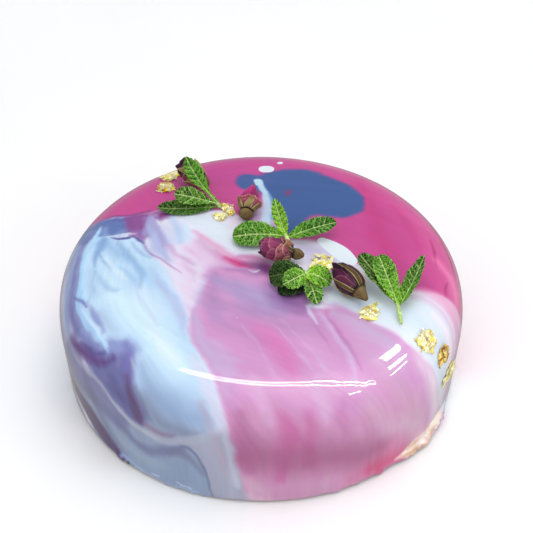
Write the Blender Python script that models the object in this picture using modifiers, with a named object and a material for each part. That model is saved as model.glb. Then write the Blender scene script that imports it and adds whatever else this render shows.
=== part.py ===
"""A round ice cream cake under mirror glaze, with mint tips, rosebuds and gold leaf.

The cake stands on z = 0 with its axis on the Z axis. Its best known side faces -Y.
Sizes below are in millimetres and are turned into metres where they meet Blender.
"""

import math
from dataclasses import dataclass

import bmesh
import bpy
from mathutils import Matrix, Vector, noise

MM = 0.001
GAP = 0.3
SKIRT_GAP = 0.6

# The glazed body: a thick puck with a wide soft shoulder.
CAKE_RADIUS = 90.0
CAKE_HEIGHT = 59.0
SHOULDER_WIDTH = 21.5
SHOULDER_DROP = 28.0
SHOULDER_POWER = 2.4
CROWN_RISE = 1.8
CROWN_RADIUS = CAKE_RADIUS - SHOULDER_WIDTH / 2
TOP_LEVEL = CAKE_HEIGHT + CROWN_RISE
BODY_SEGMENTS = 76

# The glaze skirt hangs round the biscuit and ends in an uneven lip just above the table.
BISCUIT_RADIUS = 85.8
BISCUIT_HEIGHT = 5.0
SKIRT_RADIUS = 88.8
LIP_LEVEL = 1.6
LIP_ROUNDING = 0.8
LIP_WAVE = 0.45
WAVE_ZONE = 9.0
WALL_WAVE = 0.35

# Gold leaf scraps stuck to the glaze: angle round the cake in degrees, distance along the
# glaze from the centre of the top, and the length and breadth of the scrap.
GOLD_SCRAPS = [
    (129.5, 69.0, 11.0, 8.0),
    (119.5, 74.0, 8.0, 6.0),
    (117.5, 31.6, 7.0, 5.5),
    (-18.0, 28.8, 10.0, 6.5),
    (-39.9, 59.2, 10.0, 6.5),
    (-35.1, 84.4, 10.0, 8.0),
    (-30.9, 96.7, 9.0, 6.0),
    (-19.0, 127.0, 8.5, 12.0),
]
SCRAP_THICKNESS = 3.0
SCRAP_CRUMPLE = 0.28

LEAF_THICKNESS = 0.6
LEAF_STEPS = 10
LEAF_STRIPS = 4
LEAF_BLUNTNESS = 0.45
LEAF_TOOTH = 0.09
LEAF_RUFFLE = 0.35
LEAF_END = 0.45

BUD_SEGMENTS = 20
BUD_RINGS = 17
BUD_COLLAR = 0.26
PETAL_RELIEF = 0.07
SEPAL_COUNT = 5
SEPAL_RELIEF = 0.6
SEPAL_SPREAD = 0.52


@dataclass
class Leaf:
    """A blade from base to tip; the upper side looks along face. Heights are above the cake's top."""

    base: tuple
    tip: tuple
    width: float
    face: tuple
    fold: float = 12.0
    arch: float = 1.0
    bend: float = 0.0
    belly: float = 0.52


@dataclass
class Sprig:
    """A mint tip: blades that spring from one joint, and the stem below it."""

    name: str
    joint: tuple
    stem_end: tuple
    leaves: list


@dataclass
class Bud:
    """A dried rosebud, from the middle of its round hip to the point of its petals."""

    name: str
    hip: tuple
    tip: tuple
    radius: float
    hip_radius: float


SPRIGS = [
    Sprig(
        "mint_sprig_back",
        joint=(-19.4, 32.2, 2.4),
        stem_end=(-18.4, 31.4, 1.4),
        leaves=[
            Leaf((-19.6, 32.8, 2.8), (-34.4, 51.0, 16.0), 9.8, (0.3, -0.8, 0.6), 8, 0.4, 1.6, 0.68),
            Leaf((-20.0, 32.0, 3.2), (-39.4, 34.4, 7.0), 10.2, (0.0, -0.6, 1.0), 8, 1.2, 0.0, 0.62),
            Leaf((-20.0, 31.8, 2.0), (-47.2, 30.6, 2.0), 8.4, (0.0, -0.5, 1.0), 16, 0.2, 0.8, 0.58),
        ],
    ),
    Sprig(
        "mint_sprig_middle",
        joint=(11.2, 7.6, 3.0),
        stem_end=(12.4, 4.8, 1.2),
        leaves=[
            Leaf((10.2, 8.6, 3.0), (-12.6, 8.2, 2.8), 12.4, (0.1, -0.45, 1.0), 8, 2.0, 0.0, 0.58),
            Leaf((11.0, 8.2, 3.2), (6.0, 19.6, 15.0), 6.4, (0.0, -1.0, 0.7), 14, 0.4, 0.2, 0.5),
            Leaf((12.0, 7.4, 3.0), (33.4, 13.2, 6.8), 8.6, (-0.1, -0.6, 1.0), 14, 1.6, 0.0, 0.56),
        ],
    ),
    Sprig(
        "mint_sprig_front",
        joint=(18.8, -21.4, 6.4),
        stem_end=(19.2, -22.4, 1.0),
        leaves=[
            Leaf((18.6, -21.0, 6.8), (3.6, -19.4, 3.2), 11.6, (-0.1, -0.7, 0.9), 8, 2.6, 0.0, 0.6),
            Leaf((18.6, -22.0, 7.2), (9.4, -26.8, 5.2), 9.0, (0.0, -0.8, 1.0), 10, 0.8, 0.0, 0.5),
            Leaf((19.0, -21.4, 7.2), (29.4, -24.4, 3.6), 10.0, (0.2, -0.4, 1.0), 8, 1.8, 0.0, 0.5),
            Leaf((19.6, -22.2, 6.0), (23.2, -35.0, 1.6), 7.4, (0.2, -0.9, 0.9), 12, 1.0, 0.0, 0.6),
            Leaf((19.0, -22.4, 2.2), (7.4, -26.6, 1.4), 10.4, (0.0, 0.0, 1.0), 4, 0.8, 0.0, 0.5),
        ],
    ),
    Sprig(
        "mint_sprig_right",
        joint=(56.4, -36.8, 1.8),
        stem_end=(57.2, -44.8, -0.2),
        leaves=[
            Leaf((56.2, -36.0, 2.0), (42.2, -11.8, 9.0), 10.4, (0.4, -0.6, 0.9), 16, 0.8, 0.0, 0.66),
            Leaf((56.4, -36.4, 2.4), (49.6, -15.4, 11.4), 9.2, (0.0, -0.8, 0.7), 14, 0.8, 0.0, 0.66),
            Leaf((57.0, -36.4, 2.2), (68.4, -16.2, 12.4), 7.6, (-0.7, -0.8, 0.5), 22, 0.4, -0.8, 0.46),
        ],
    ),
]
STEM_RADIUS = 0.95
JOINT_RADIUS = 1.7

BUDS = [
    Bud("rosebud_back", (-26.6, 46.2, 4.0), (-37.8, 57.6, 7.0), 6.2, 3.3),
    Bud("rosebud_left", (-6.6, 23.8, 3.6), (-3.4, 37.0, 9.0), 5.0, 3.4),
    Bud("rosebud_middle", (16.2, -7.2, 3.8), (-0.8, -4.8, 6.8), 5.3, 3.0),
    Bud("rosebud_right", (41.8, -33.0, 3.2), (31.6, -18.6, 6.4), 5.8, 3.0),
]

GLAZE_PINK = (0.56, 0.16, 0.38, 1.0)
BISCUIT_BROWN = (0.20, 0.075, 0.03, 1.0)
MINT_GREEN = (0.10, 0.24, 0.05, 1.0)
ROSE_PLUM = (0.22, 0.045, 0.11, 1.0)


# Small helpers.


def make_material(name, colour, roughness, metallic=0.0):
    material = bpy.data.materials.new(name)
    material.use_nodes = True
    shader = material.node_tree.nodes["Principled BSDF"]
    shader.inputs["Base Color"].default_value = colour
    shader.inputs["Roughness"].default_value = roughness
    shader.inputs["Metallic"].default_value = metallic
    return material


def make_object(name, mesh, collection, material=None):
    obj = bpy.data.objects.new(name, mesh)
    collection.objects.link(obj)
    if material:
        mesh.materials.clear()
        mesh.materials.append(material)
    return obj


def mesh_from(bm, name):
    mesh = bpy.data.meshes.new(name)
    bm.to_mesh(mesh)
    bm.free()
    return mesh


def baked(obj, weld=0.0):
    """Replaces an object by a mesh object of its evaluated shape, its loose caps welded if asked."""
    bpy.context.view_layer.update()
    graph = bpy.context.evaluated_depsgraph_get()
    mesh = bpy.data.meshes.new_from_object(obj.evaluated_get(graph))
    if weld:
        bm = bmesh.new()
        bm.from_mesh(mesh)
        bmesh.ops.remove_doubles(bm, verts=bm.verts, dist=weld)
        bmesh.ops.recalc_face_normals(bm, faces=bm.faces)
        bm.to_mesh(mesh)
        bm.free()
    name, collection = obj.name, obj.users_collection[0]
    matrix = obj.matrix_world.copy()
    bpy.data.objects.remove(obj)
    made = bpy.data.objects.new(name, mesh)
    collection.objects.link(made)
    made.matrix_world = matrix
    return made


def fused(name, first, others, collection, material):
    """The union of first and the other mesh objects, as one applied object in collection."""
    scraps = bpy.data.collections.new(name + "_pieces")
    bpy.context.scene.collection.children.link(scraps)
    for piece in others:
        for owner in list(piece.users_collection):
            owner.objects.unlink(piece)
        scraps.objects.link(piece)
    joining = first.modifiers.new("join", "BOOLEAN")
    joining.operation = "UNION"
    joining.operand_type = "COLLECTION"
    joining.collection = scraps
    first.name = name
    made = baked(first)
    for piece in others:
        bpy.data.objects.remove(piece)
    bpy.data.collections.remove(scraps)
    for owner in list(made.users_collection):
        owner.objects.unlink(made)
    collection.objects.link(made)
    made.name = name
    made.data.materials.clear()
    made.data.materials.append(material)
    made.data.shade_smooth()
    made.data.set_sharp_from_angle(angle=math.radians(50))
    return made


# The glazed body and its biscuit.


def crown(radius):
    """How far the top stands above its own rim at this distance from the axis."""
    return CROWN_RISE * max(0.0, 1 - (radius / CROWN_RADIUS) ** 2)


def shoulder_point(share):
    """(radius, height) on the shoulder: share 0 is the edge of the flat top, 1 the widest place."""
    turn = share * math.pi / 2
    radius = CAKE_RADIUS - SHOULDER_WIDTH + SHOULDER_WIDTH * math.sin(turn) ** (2 / SHOULDER_POWER)
    height = CAKE_HEIGHT - SHOULDER_DROP + SHOULDER_DROP * math.cos(turn) ** (2 / SHOULDER_POWER)
    return radius, height + crown(radius)


def wall_point(height):
    """(radius, height) on the wall below the widest place, which draws in towards the lip."""
    share = height / (CAKE_HEIGHT - SHOULDER_DROP)
    return SKIRT_RADIUS + (CAKE_RADIUS - SKIRT_RADIUS) * share, height


def outer_profile(top_rings=6, shoulder_rings=11, wall_rings=5):
    """The glaze's outline from the middle of the top down to just above the lip."""
    flat = CAKE_RADIUS - SHOULDER_WIDTH
    top = [(flat * i / top_rings, CAKE_HEIGHT + crown(flat * i / top_rings)) for i in range(top_rings)]
    shoulder = [shoulder_point(i / shoulder_rings) for i in range(shoulder_rings + 1)]
    lowest = LIP_LEVEL + 2 * LIP_ROUNDING
    wall_height = CAKE_HEIGHT - SHOULDER_DROP
    fall = (wall_height - lowest) / wall_rings
    wall = [wall_point(wall_height - fall * (i + 1)) for i in range(wall_rings)]
    return top + shoulder + wall


def cake_height_at(x, y):
    """Height of the glaze above the table over the point (x, y), in millimetres."""
    radius = math.hypot(x, y)
    outline = outer_profile(shoulder_rings=40)
    for (inner, upper), (outer, lower) in zip(outline, outline[1:]):
        if outer > inner and inner <= radius <= outer:
            return upper + (lower - upper) * (radius - inner) / (outer - inner)
    return 0.0


def waves(angle, terms):
    """A smooth closed ripple round the cake, from a few (count, size, start) terms."""
    return sum(size * math.sin(count * angle + start) for count, size, start in terms)


def lip_offset(angle):
    """How far the lip hangs below its mean level here: a slow ripple with drips on it."""
    ripple = waves(angle, [(3, 0.5, 0.4), (7, 0.35, 1.9), (13, 0.3, 0.2), (29, 0.2, 2.7)])
    return LIP_WAVE * ripple


def wall_swell(angle):
    return WALL_WAVE * waves(angle, [(2, 0.6, 2.9), (5, 0.3, 1.0), (9, 0.15, 0.3)])


def glazed_body(collection):
    """A turned shell-like puck whose wall swells a little and whose lip ripples."""
    lip = [
        (SKIRT_RADIUS, LIP_LEVEL + LIP_ROUNDING),
        (SKIRT_RADIUS - LIP_ROUNDING, LIP_LEVEL),
        (BISCUIT_RADIUS + 2 * SKIRT_GAP, LIP_LEVEL + LIP_ROUNDING),
        (BISCUIT_RADIUS + SKIRT_GAP, BISCUIT_HEIGHT + GAP),
        (0.0, BISCUIT_HEIGHT + GAP),
    ]
    outline = outer_profile() + lip
    bm = bmesh.new()
    points = [bm.verts.new((radius * MM, 0, height * MM)) for radius, height in outline]
    for upper, lower in zip(points, points[1:]):
        bm.edges.new((upper, lower))
    obj = make_object("glaze_turning", mesh_from(bm, "glaze_turning"), collection)
    turning = obj.modifiers.new("turn", "SCREW")
    turning.steps = turning.render_steps = BODY_SEGMENTS
    turning.use_merge_vertices = True
    turning.merge_threshold = 0.00001
    body = baked(obj)
    for vertex in body.data.vertices:
        radius = vertex.co.xy.length / MM
        height = vertex.co.z / MM
        angle = math.atan2(vertex.co.y, vertex.co.x)
        if radius > CAKE_RADIUS - SHOULDER_WIDTH:
            rise = min(1.0, (TOP_LEVEL - height) / SHOULDER_DROP)
            grow = 1 + wall_swell(angle) * rise / radius
            vertex.co.x *= grow
            vertex.co.y *= grow
        if height < BISCUIT_HEIGHT or radius > SKIRT_RADIUS - LIP_ROUNDING:
            share = max(0.0, 1 - height / WAVE_ZONE) ** 2
            vertex.co.z -= lip_offset(angle) * share * MM
    return body


def along_glaze(distance):
    """(radius, height) at this distance along the outline from the middle of the top."""
    outline = outer_profile(shoulder_rings=40, wall_rings=20)
    for (inner, upper), (outer, lower) in zip(outline, outline[1:]):
        step = math.hypot(outer - inner, upper - lower)
        if distance <= step:
            share = distance / step
            return inner + (outer - inner) * share, upper + (lower - upper) * share
        distance -= step
    return outline[-1]


def glaze_frame(angle, distance):
    """Matrix of a spot on the glaze, in metres: its Z looks out, its X runs round the cake."""
    radius, height = along_glaze(distance)
    further, lower = along_glaze(distance + 1.0)
    out = Vector((math.cos(angle), math.sin(angle), 0))
    down = (out * (further - radius) + Vector((0, 0, lower - height))).normalized()
    around = Vector((-math.sin(angle), math.cos(angle), 0))
    away = down.cross(around)
    spot = out * radius + Vector((0, 0, height))
    turn = Matrix((around, -down, away)).transposed().to_4x4()
    return Matrix.Translation(spot * MM) @ turn


def gold_scrap(number, collection):
    """A crumpled lump of gold leaf that lies on the glaze and is sunk into it by a third."""
    angle, distance, length, breadth = GOLD_SCRAPS[number]
    bm = bmesh.new()
    bmesh.ops.create_icosphere(bm, subdivisions=2, radius=1.0)
    for vertex in bm.verts:
        jag = 1 + SCRAP_CRUMPLE * noise.noise(vertex.co * 2.6 + Vector((number * 7.1, 0, 0)))
        turn = math.atan2(vertex.co.y, vertex.co.x)
        spread = 1 + 0.12 * math.cos(3 * turn + number) + 0.14 * math.cos(5 * turn + 2 * number)
        vertex.co.x *= length / 2 * jag * spread
        vertex.co.y *= breadth / 2 * jag * spread
        vertex.co.z = vertex.co.z * SCRAP_THICKNESS / 2 * (2 * jag - 1) + SCRAP_THICKNESS / 6
    bmesh.ops.scale(bm, vec=(MM, MM, MM), verts=bm.verts)
    obj = make_object(f"scrap_{number}", mesh_from(bm, f"scrap_{number}"), collection)
    obj.matrix_world = glaze_frame(math.radians(angle), distance)
    return obj


def biscuit_base(collection, material):
    """The thin biscuit that the glazed body stands on, with a small bevel round it."""
    bm = bmesh.new()
    bmesh.ops.create_cone(
        bm,
        cap_ends=True,
        segments=BODY_SEGMENTS,
        radius1=BISCUIT_RADIUS * MM,
        radius2=BISCUIT_RADIUS * MM,
        depth=BISCUIT_HEIGHT * MM,
    )
    obj = make_object("biscuit_base", mesh_from(bm, "biscuit_base"), collection, material)
    obj.location.z = BISCUIT_HEIGHT / 2 * MM
    edge = obj.modifiers.new("edge", "BEVEL")
    edge.width = 0.5 * MM
    edge.segments = 1
    return obj


# Things that lie on the cake.


def lowest_clearance(obj):
    """Smallest height of the object's vertices above the glaze, in millimetres."""
    bpy.context.view_layer.update()
    corners = [obj.matrix_world @ vertex.co / MM for vertex in obj.data.vertices]
    return min(corner.z - cake_height_at(corner.x, corner.y) for corner in corners)


def rest_on_glaze(obj):
    """Lowers or lifts the object until its lowest place is a hair above the glaze."""
    obj.location.z += (GAP - lowest_clearance(obj)) * MM


def frame_between(start, end, face):
    """Matrix in metres at start: X runs to end and Z leans as far as it can towards face."""
    forward = (end - start).normalized()
    up = Vector(face) - forward * Vector(face).dot(forward)
    up.normalize()
    side = up.cross(forward)
    return Matrix.Translation(start * MM) @ Matrix((forward, side, up)).transposed().to_4x4()


def above_top(point):
    """A point given above the cake's top, in millimetres above the table."""
    return Vector(point) + Vector((0, 0, TOP_LEVEL))


def leaf_breadth(share, belly):
    """Half breadth of a blade, 0 to 1, at this share of its length; widest at belly."""
    rise = LEAF_BLUNTNESS * belly / (1 - belly)
    most = belly**rise * (1 - belly) ** LEAF_BLUNTNESS
    return share**rise * (1 - share) ** LEAF_BLUNTNESS / most


def blade_point(leaf, length, number, share, across):
    """A place on the blade's upper side in its own frame, for across from -1 to 1."""
    fold = math.radians(leaf.fold)
    half = leaf.width / 2 * leaf_breadth(share, leaf.belly)
    if abs(across) > 0.99:
        half *= 1 + LEAF_TOOTH * (1 if round(share * LEAF_STEPS) % 2 else -1)
    half = max(half, LEAF_END)
    middle = 4 * share * (1 - share)
    ruffle = LEAF_RUFFLE * math.sin(3.2 * math.tau * share + number) * across * across
    rise = abs(across) * half * math.sin(fold) + leaf.arch * middle + ruffle
    return Vector((share * length, leaf.bend * middle + across * half * math.cos(fold), rise))


def leaf_blade(leaf, number, collection):
    """One blade as a thin solid: a folded, arched and toothed sheet with thickness."""
    start, end = above_top(leaf.base), above_top(leaf.tip)
    length = (end - start).length
    bm = bmesh.new()
    bmesh.ops.create_grid(bm, x_segments=LEAF_STEPS, y_segments=LEAF_STRIPS, size=1.0)
    for vertex in bm.verts:
        vertex.co = blade_point(leaf, length, number, (vertex.co.x + 1) / 2, vertex.co.y)
    bmesh.ops.triangulate(bm, faces=bm.faces)
    lower = bmesh.ops.extrude_face_region(bm, geom=list(bm.faces))["geom"]
    lower = [item for item in lower if isinstance(item, bmesh.types.BMVert)]
    bmesh.ops.translate(bm, vec=(0, 0, -LEAF_THICKNESS), verts=lower)
    bmesh.ops.recalc_face_normals(bm, faces=bm.faces)
    bmesh.ops.scale(bm, vec=(MM, MM, MM), verts=bm.verts)
    obj = make_object(f"blade_{number}", mesh_from(bm, f"blade_{number}"), collection)
    obj.matrix_world = frame_between(start, end, leaf.face)
    return obj


def tube(name, start, end, radius, collection):
    """A straight round stem with closed ends, as a mesh."""
    line = bpy.data.curves.new(name, "CURVE")
    line.dimensions = "3D"
    line.bevel_depth = radius * MM
    line.bevel_resolution = 1
    line.use_fill_caps = True
    spline = line.splines.new("POLY")
    spline.points.add(1)
    for point, place in zip(spline.points, (start, end)):
        point.co = (*(place * MM), 1.0)
    obj = bpy.data.objects.new(name, line)
    collection.objects.link(obj)
    return baked(obj, weld=0.00001)


def ball(name, centre, radius, segments, rings, collection):
    bm = bmesh.new()
    bmesh.ops.create_uvsphere(bm, u_segments=segments, v_segments=rings, radius=radius * MM)
    obj = make_object(name, mesh_from(bm, name), collection)
    obj.location = centre * MM
    bpy.context.view_layer.update()
    return obj


def mint_sprig(sprig, collection, material):
    joint = above_top(sprig.joint)
    pieces = [leaf_blade(leaf, number, collection) for number, leaf in enumerate(sprig.leaves)]
    pieces.append(tube("stem", joint, above_top(sprig.stem_end), STEM_RADIUS, collection))
    knot = ball("joint", joint, JOINT_RADIUS, 8, 6, collection)
    made = fused(sprig.name, baked(knot), pieces, collection, material)
    rest_on_glaze(made)
    return made


def sepal_cover(angle, share):
    """1 on a sepal and 0 off it; each narrows from the collar to a point partway up the petals."""
    sector = math.tau / SEPAL_COUNT
    number = round(angle / sector)
    away = abs(angle - number * sector)
    reach = 0.62 + 0.12 * math.sin(2.3 * (number % SEPAL_COUNT) + 1.0)
    climb = (share - BUD_COLLAR) / (reach * (1 - BUD_COLLAR))
    if not 0 <= climb <= 1:
        return 0.0
    return 1.0 if away < SEPAL_SPREAD * (1 - climb) ** 0.8 else 0.0


def bud_radius(bud, angle, share):
    """Distance of the bud's skin from its axis: the hip first, then the petals."""
    if share < BUD_COLLAR:
        rise = share / BUD_COLLAR
        return bud.hip_radius * math.sin(math.pi * (0.04 + 0.76 * rise)) ** 0.7
    climb = (share - BUD_COLLAR) / (1 - BUD_COLLAR)
    petals = bud.radius * math.sin(math.pi * (0.17 + 0.8 * climb**0.85)) ** 0.8
    spiral = (3 * angle / math.tau + 1.2 * climb) % 1.0
    petals *= 1 + PETAL_RELIEF * (spiral - 0.5)
    return petals + SEPAL_RELIEF * sepal_cover(angle, share)


def rosebud(bud, collection, material):
    """A closed skin of rings round the bud's axis, laid down so that it points at its tip."""
    hip, tip = above_top(bud.hip), above_top(bud.tip)
    length = (tip - hip).length + bud.hip_radius
    bm = bmesh.new()
    bmesh.ops.create_uvsphere(bm, u_segments=BUD_SEGMENTS, v_segments=BUD_RINGS, radius=1.0)
    for vertex in bm.verts:
        share = 1 - math.acos(max(-1.0, min(1.0, vertex.co.z))) / math.pi
        angle = math.atan2(vertex.co.y, vertex.co.x)
        breadth = bud_radius(bud, angle, share) if vertex.co.xy.length > 0.001 else 0.0
        around = Vector((0, math.cos(angle), math.sin(angle)))
        vertex.co = Vector((share * length - bud.hip_radius, 0, 0)) + around * breadth
    bmesh.ops.scale(bm, vec=(MM, MM, MM), verts=bm.verts)
    bmesh.ops.recalc_face_normals(bm, faces=bm.faces)
    obj = make_object(bud.name, mesh_from(bm, bud.name), collection, material)
    obj.matrix_world = frame_between(hip, tip, (0, 0, 1))
    obj.data.shade_smooth()
    obj.data.set_sharp_from_angle(angle=math.radians(50))
    rest_on_glaze(obj)


def clear_scene():
    for obj in list(bpy.data.objects):
        bpy.data.objects.remove(obj)


def build():
    clear_scene()
    cake = bpy.data.collections.new("ice_cream_cake")
    bpy.context.scene.collection.children.link(cake)
    glaze = make_material("mirror_glaze", GLAZE_PINK, 0.08)
    biscuit = make_material("biscuit", BISCUIT_BROWN, 0.85)
    mint = make_material("mint", MINT_GREEN, 0.5)
    rose = make_material("dried_rose", ROSE_PLUM, 0.7)
    scraps = [gold_scrap(number, cake) for number in range(len(GOLD_SCRAPS))]
    fused("glazed_cake", glazed_body(cake), scraps, cake, glaze)
    biscuit_base(cake, biscuit)
    for sprig in SPRIGS:
        mint_sprig(sprig, cake, mint)
    for bud in BUDS:
        rosebud(bud, cake, rose)


build()
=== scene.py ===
"""A round ice cream cake under marbled mirror glaze, with mint tips, rosebuds and gold leaf.

Sizes are in millimetres unless a name says otherwise; Blender gets metres. The garnish's heights
are above the middle of the cake's top.
"""

import math
from dataclasses import dataclass

import bpy
import numpy as np
from mathutils import Matrix, Vector, noise


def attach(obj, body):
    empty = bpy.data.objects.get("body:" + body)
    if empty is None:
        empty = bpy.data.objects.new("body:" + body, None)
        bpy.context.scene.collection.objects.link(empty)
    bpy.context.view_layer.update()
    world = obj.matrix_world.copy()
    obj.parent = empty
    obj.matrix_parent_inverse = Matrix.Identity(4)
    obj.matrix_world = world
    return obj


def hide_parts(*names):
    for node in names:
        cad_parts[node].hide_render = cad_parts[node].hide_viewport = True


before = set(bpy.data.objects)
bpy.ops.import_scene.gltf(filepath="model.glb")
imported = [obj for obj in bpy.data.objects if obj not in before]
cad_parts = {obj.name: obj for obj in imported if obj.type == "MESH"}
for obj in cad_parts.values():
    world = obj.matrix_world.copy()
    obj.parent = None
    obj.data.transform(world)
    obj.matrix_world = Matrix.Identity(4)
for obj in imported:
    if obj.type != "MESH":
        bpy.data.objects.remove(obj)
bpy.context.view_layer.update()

MM = 0.001

# The glazed body, as its solid has it.
CAKE_RADIUS = 90.0
CAKE_HEIGHT = 59.0
SHOULDER_WIDTH = 21.5
SHOULDER_DROP = 28.0
SHOULDER_POWER = 2.4
CROWN_RISE = 1.8
CROWN_RADIUS = CAKE_RADIUS - SHOULDER_WIDTH / 2
TOP_LEVEL = CAKE_HEIGHT + CROWN_RISE
FLAT_RADIUS = CAKE_RADIUS - SHOULDER_WIDTH
WALL_HEIGHT = CAKE_HEIGHT - SHOULDER_DROP
SKIRT_RADIUS = 88.8
BISCUIT_RADIUS = 85.8
LIP_LEVEL = 1.6
LIP_ROUNDING = 0.8
LIP_WAVE = 0.45
WAVE_ZONE = 9.0
WALL_WAVE = 0.35
SLIMMER = 0.05

# How finely the glaze is cut: round the cake, and along it from the middle of the top down.
GLAZE_SEGMENTS = 960
TOP_RINGS = 96
SHOULDER_RINGS = 58
WALL_RINGS = 34
LIP_RINGS = 8

# Gold leaf scraps: angle round the cake in degrees, distance along the glaze, length, breadth and
# how brown the folds are.
GOLD_SCRAPS = [
    (132.0, 66.5, 10.0, 9.5, 0.5),
    (126.0, 73.4, 11.0, 10.0, 0.3),
    (115.5, 34.5, 6.6, 11.5, 0.5),
    (126.0, 31.4, 7.0, 6.5, 0.2),
    (-15.0, 27.6, 13.5, 10.5, 0.2),
    (-39.9, 59.2, 12.5, 8.0, 0.35),
    (-35.4, 84.6, 13.0, 10.5, 0.5),
    (-32.0, 96.0, 10.0, 8.5, 1.0),
    (-27.5, 112.0, 15.0, 11.0, 0.3),
]


# Small helpers.


def smooth(value):
    """0 up to 0, 1 from 1 on, and a smooth rise between."""
    value = np.clip(value, 0, 1)
    return value * value * (3 - 2 * value)


def blend(first, second, share):
    """The first tuple moved towards the second by this share."""
    return tuple(a + (b - a) * share for a, b in zip(first, second))


def shifted(faces, start):
    """Faces whose point numbers begin at start."""
    return [tuple(corner + start for corner in face) for face in faces]


def sheet_faces(rows, columns):
    """Faces of a thin closed sheet: its upper points come first, row by row, then its lower ones."""
    row = columns + 1
    layer = row * (rows + 1)
    faces = []
    for i in range(rows):
        for j in range(columns):
            a = i * row + j
            faces.append((a, a + row, a + row + 1, a + 1))
            faces.append((a + layer, a + 1 + layer, a + row + 1 + layer, a + row + layer))
    rim = [i * row for i in range(rows + 1)]
    rim += [rows * row + j for j in range(1, columns + 1)]
    rim += [i * row + columns for i in range(rows - 1, -1, -1)]
    rim += list(range(columns - 1, 0, -1))
    for a, b in zip(rim, rim[1:] + rim[:1]):
        faces.append((a, a + layer, b + layer, b))
    return faces


def linear(colour):
    """A colour as seen on a screen, 0 to 255, as the light values that a shader takes."""
    share = np.asarray(colour, float) / 255
    return np.where(share <= 0.04045, share / 12.92, ((share + 0.055) / 1.055) ** 2.4)


def shader_colour(colour):
    """A screen colour as a shader's socket takes it."""
    return (*(float(value) for value in linear(colour)), 1.0)


def mesh_object(name, points, faces, material):
    """A smooth-shaded mesh object from points in millimetres."""
    mesh = bpy.data.meshes.new(name)
    mesh.from_pydata([tuple(point) for point in np.asarray(points, float) * MM], [], faces)
    mesh.validate()
    mesh.update()
    mesh.shade_smooth()
    obj = bpy.data.objects.new(name, mesh)
    bpy.context.scene.collection.objects.link(obj)
    mesh.materials.append(material)
    return obj


def store_number(obj, name, values):
    """One number per point, for the material to read."""
    attribute = obj.data.attributes.new(name, "FLOAT", "POINT")
    attribute.data.foreach_set("value", np.asarray(values, np.float32))


def store_vector(obj, name, values):
    """Three numbers per point, for the material to read."""
    attribute = obj.data.attributes.new(name, "FLOAT_VECTOR", "POINT")
    attribute.data.foreach_set("vector", np.asarray(values, np.float32).ravel())


def store_colour(obj, name, colours):
    """Screen colours, 0 to 255, one per point."""
    light = np.ones((len(colours), 4), np.float32)
    light[:, :3] = linear(colours)
    attribute = obj.data.attributes.new(name, "FLOAT_COLOR", "POINT")
    attribute.data.foreach_set("color", light.ravel())


# Noise.


NOISE_CELLS = 64


def grid_noise(u, v, seed, across=NOISE_CELLS):
    """Smooth noise from -1 to 1 over unit cells; it repeats along u after that many cells."""
    table = np.random.default_rng(seed).uniform(-1, 1, (across, NOISE_CELLS))
    column, row = np.floor(u).astype(int), np.floor(v).astype(int)
    s, t = smooth(u - column), smooth(v - row)
    left, right = column % across, (column + 1) % across
    low, high = row % NOISE_CELLS, (row + 1) % NOISE_CELLS
    near = table[left, low] * (1 - s) + table[right, low] * s
    far = table[left, high] * (1 - s) + table[right, high] * s
    return near * (1 - t) + far * t


def clouds(x, y, size, seed):
    """Soft patches about as wide as size, from -1 to 1."""
    coarse = grid_noise(x / size, y / size, seed)
    fine = grid_noise(x / size * 2.1, y / size * 2.1, seed + 1)
    return 0.65 * coarse + 0.35 * fine


# The way the glaze ran. On the top it ran away from a far place behind the left edge, and on the
# wall straight down, so the place that the streaks point away from moves to the middle.
POUR_PLACE = (-150.0, 95.0)
POUR_REACH = 110.0

# Streaks: how long they are, how far they sway and over what length, and for each fineness how
# many go round the cake and their share.
STREAK_LENGTH = 26
STREAK_SWAY = 6
SWAY_LENGTH = 34
STREAK_MIX = [(130, 0.5), (290, 0.32), (620, 0.18)]


def flow_lines(x, y):
    """(turn, run): a number that is the same along each line of flow, and how far along it is."""
    share = 1 - smooth(np.hypot(x, y) / POUR_REACH)
    away_x, away_y = x - POUR_PLACE[0] * share, y - POUR_PLACE[1] * share
    turn = np.arctan2(away_y, away_x) / math.tau
    return turn, np.hypot(away_x, away_y)


def streaks(x, y, count, seed):
    """Noise drawn out along the way the glaze ran."""
    x = x + STREAK_SWAY * grid_noise(x / SWAY_LENGTH, y / SWAY_LENGTH, seed + 7)
    y = y + STREAK_SWAY * grid_noise(x / SWAY_LENGTH, y / SWAY_LENGTH, seed + 8)
    turn, run = flow_lines(x, y)
    return grid_noise(turn * count, run / STREAK_LENGTH, seed, across=count)


def flow_streaks(x, y, seed):
    """Coarse, fine and finest streaks together."""
    layers = enumerate(STREAK_MIX)
    return sum(share * streaks(x, y, count, seed + step) for step, (count, share) in layers)


# Marbling. Places are on the unrolled glaze: x to the right, y to the back, and the distance from
# the middle runs along the glaze. Colours are as seen on a screen, 0 to 255.

MAGENTA = (200, 68, 144)
HOT_PINK = (226, 92, 160)
RIM_REFLECTION_SALMON = (238, 140, 172)
DEEP_MAGENTA = (192, 36, 116)
DARK_ROSE = (158, 26, 92)
LILAC_WHITE = (226, 222, 241)
ICE_BLUE = (190, 218, 243)
SLATE = (46, 90, 152)
PLUM = (98, 50, 104)
CANDY = (211, 151, 202)

# How sharply a streaky or patchy colour thins out, how far beyond its blurred edge a shape is
# worked out, and how strong the fine streaks over all colours are.
THINNING = 1.1
SPARE_MARGIN = 3
BRUSH_STRENGTH = 0.035


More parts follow.
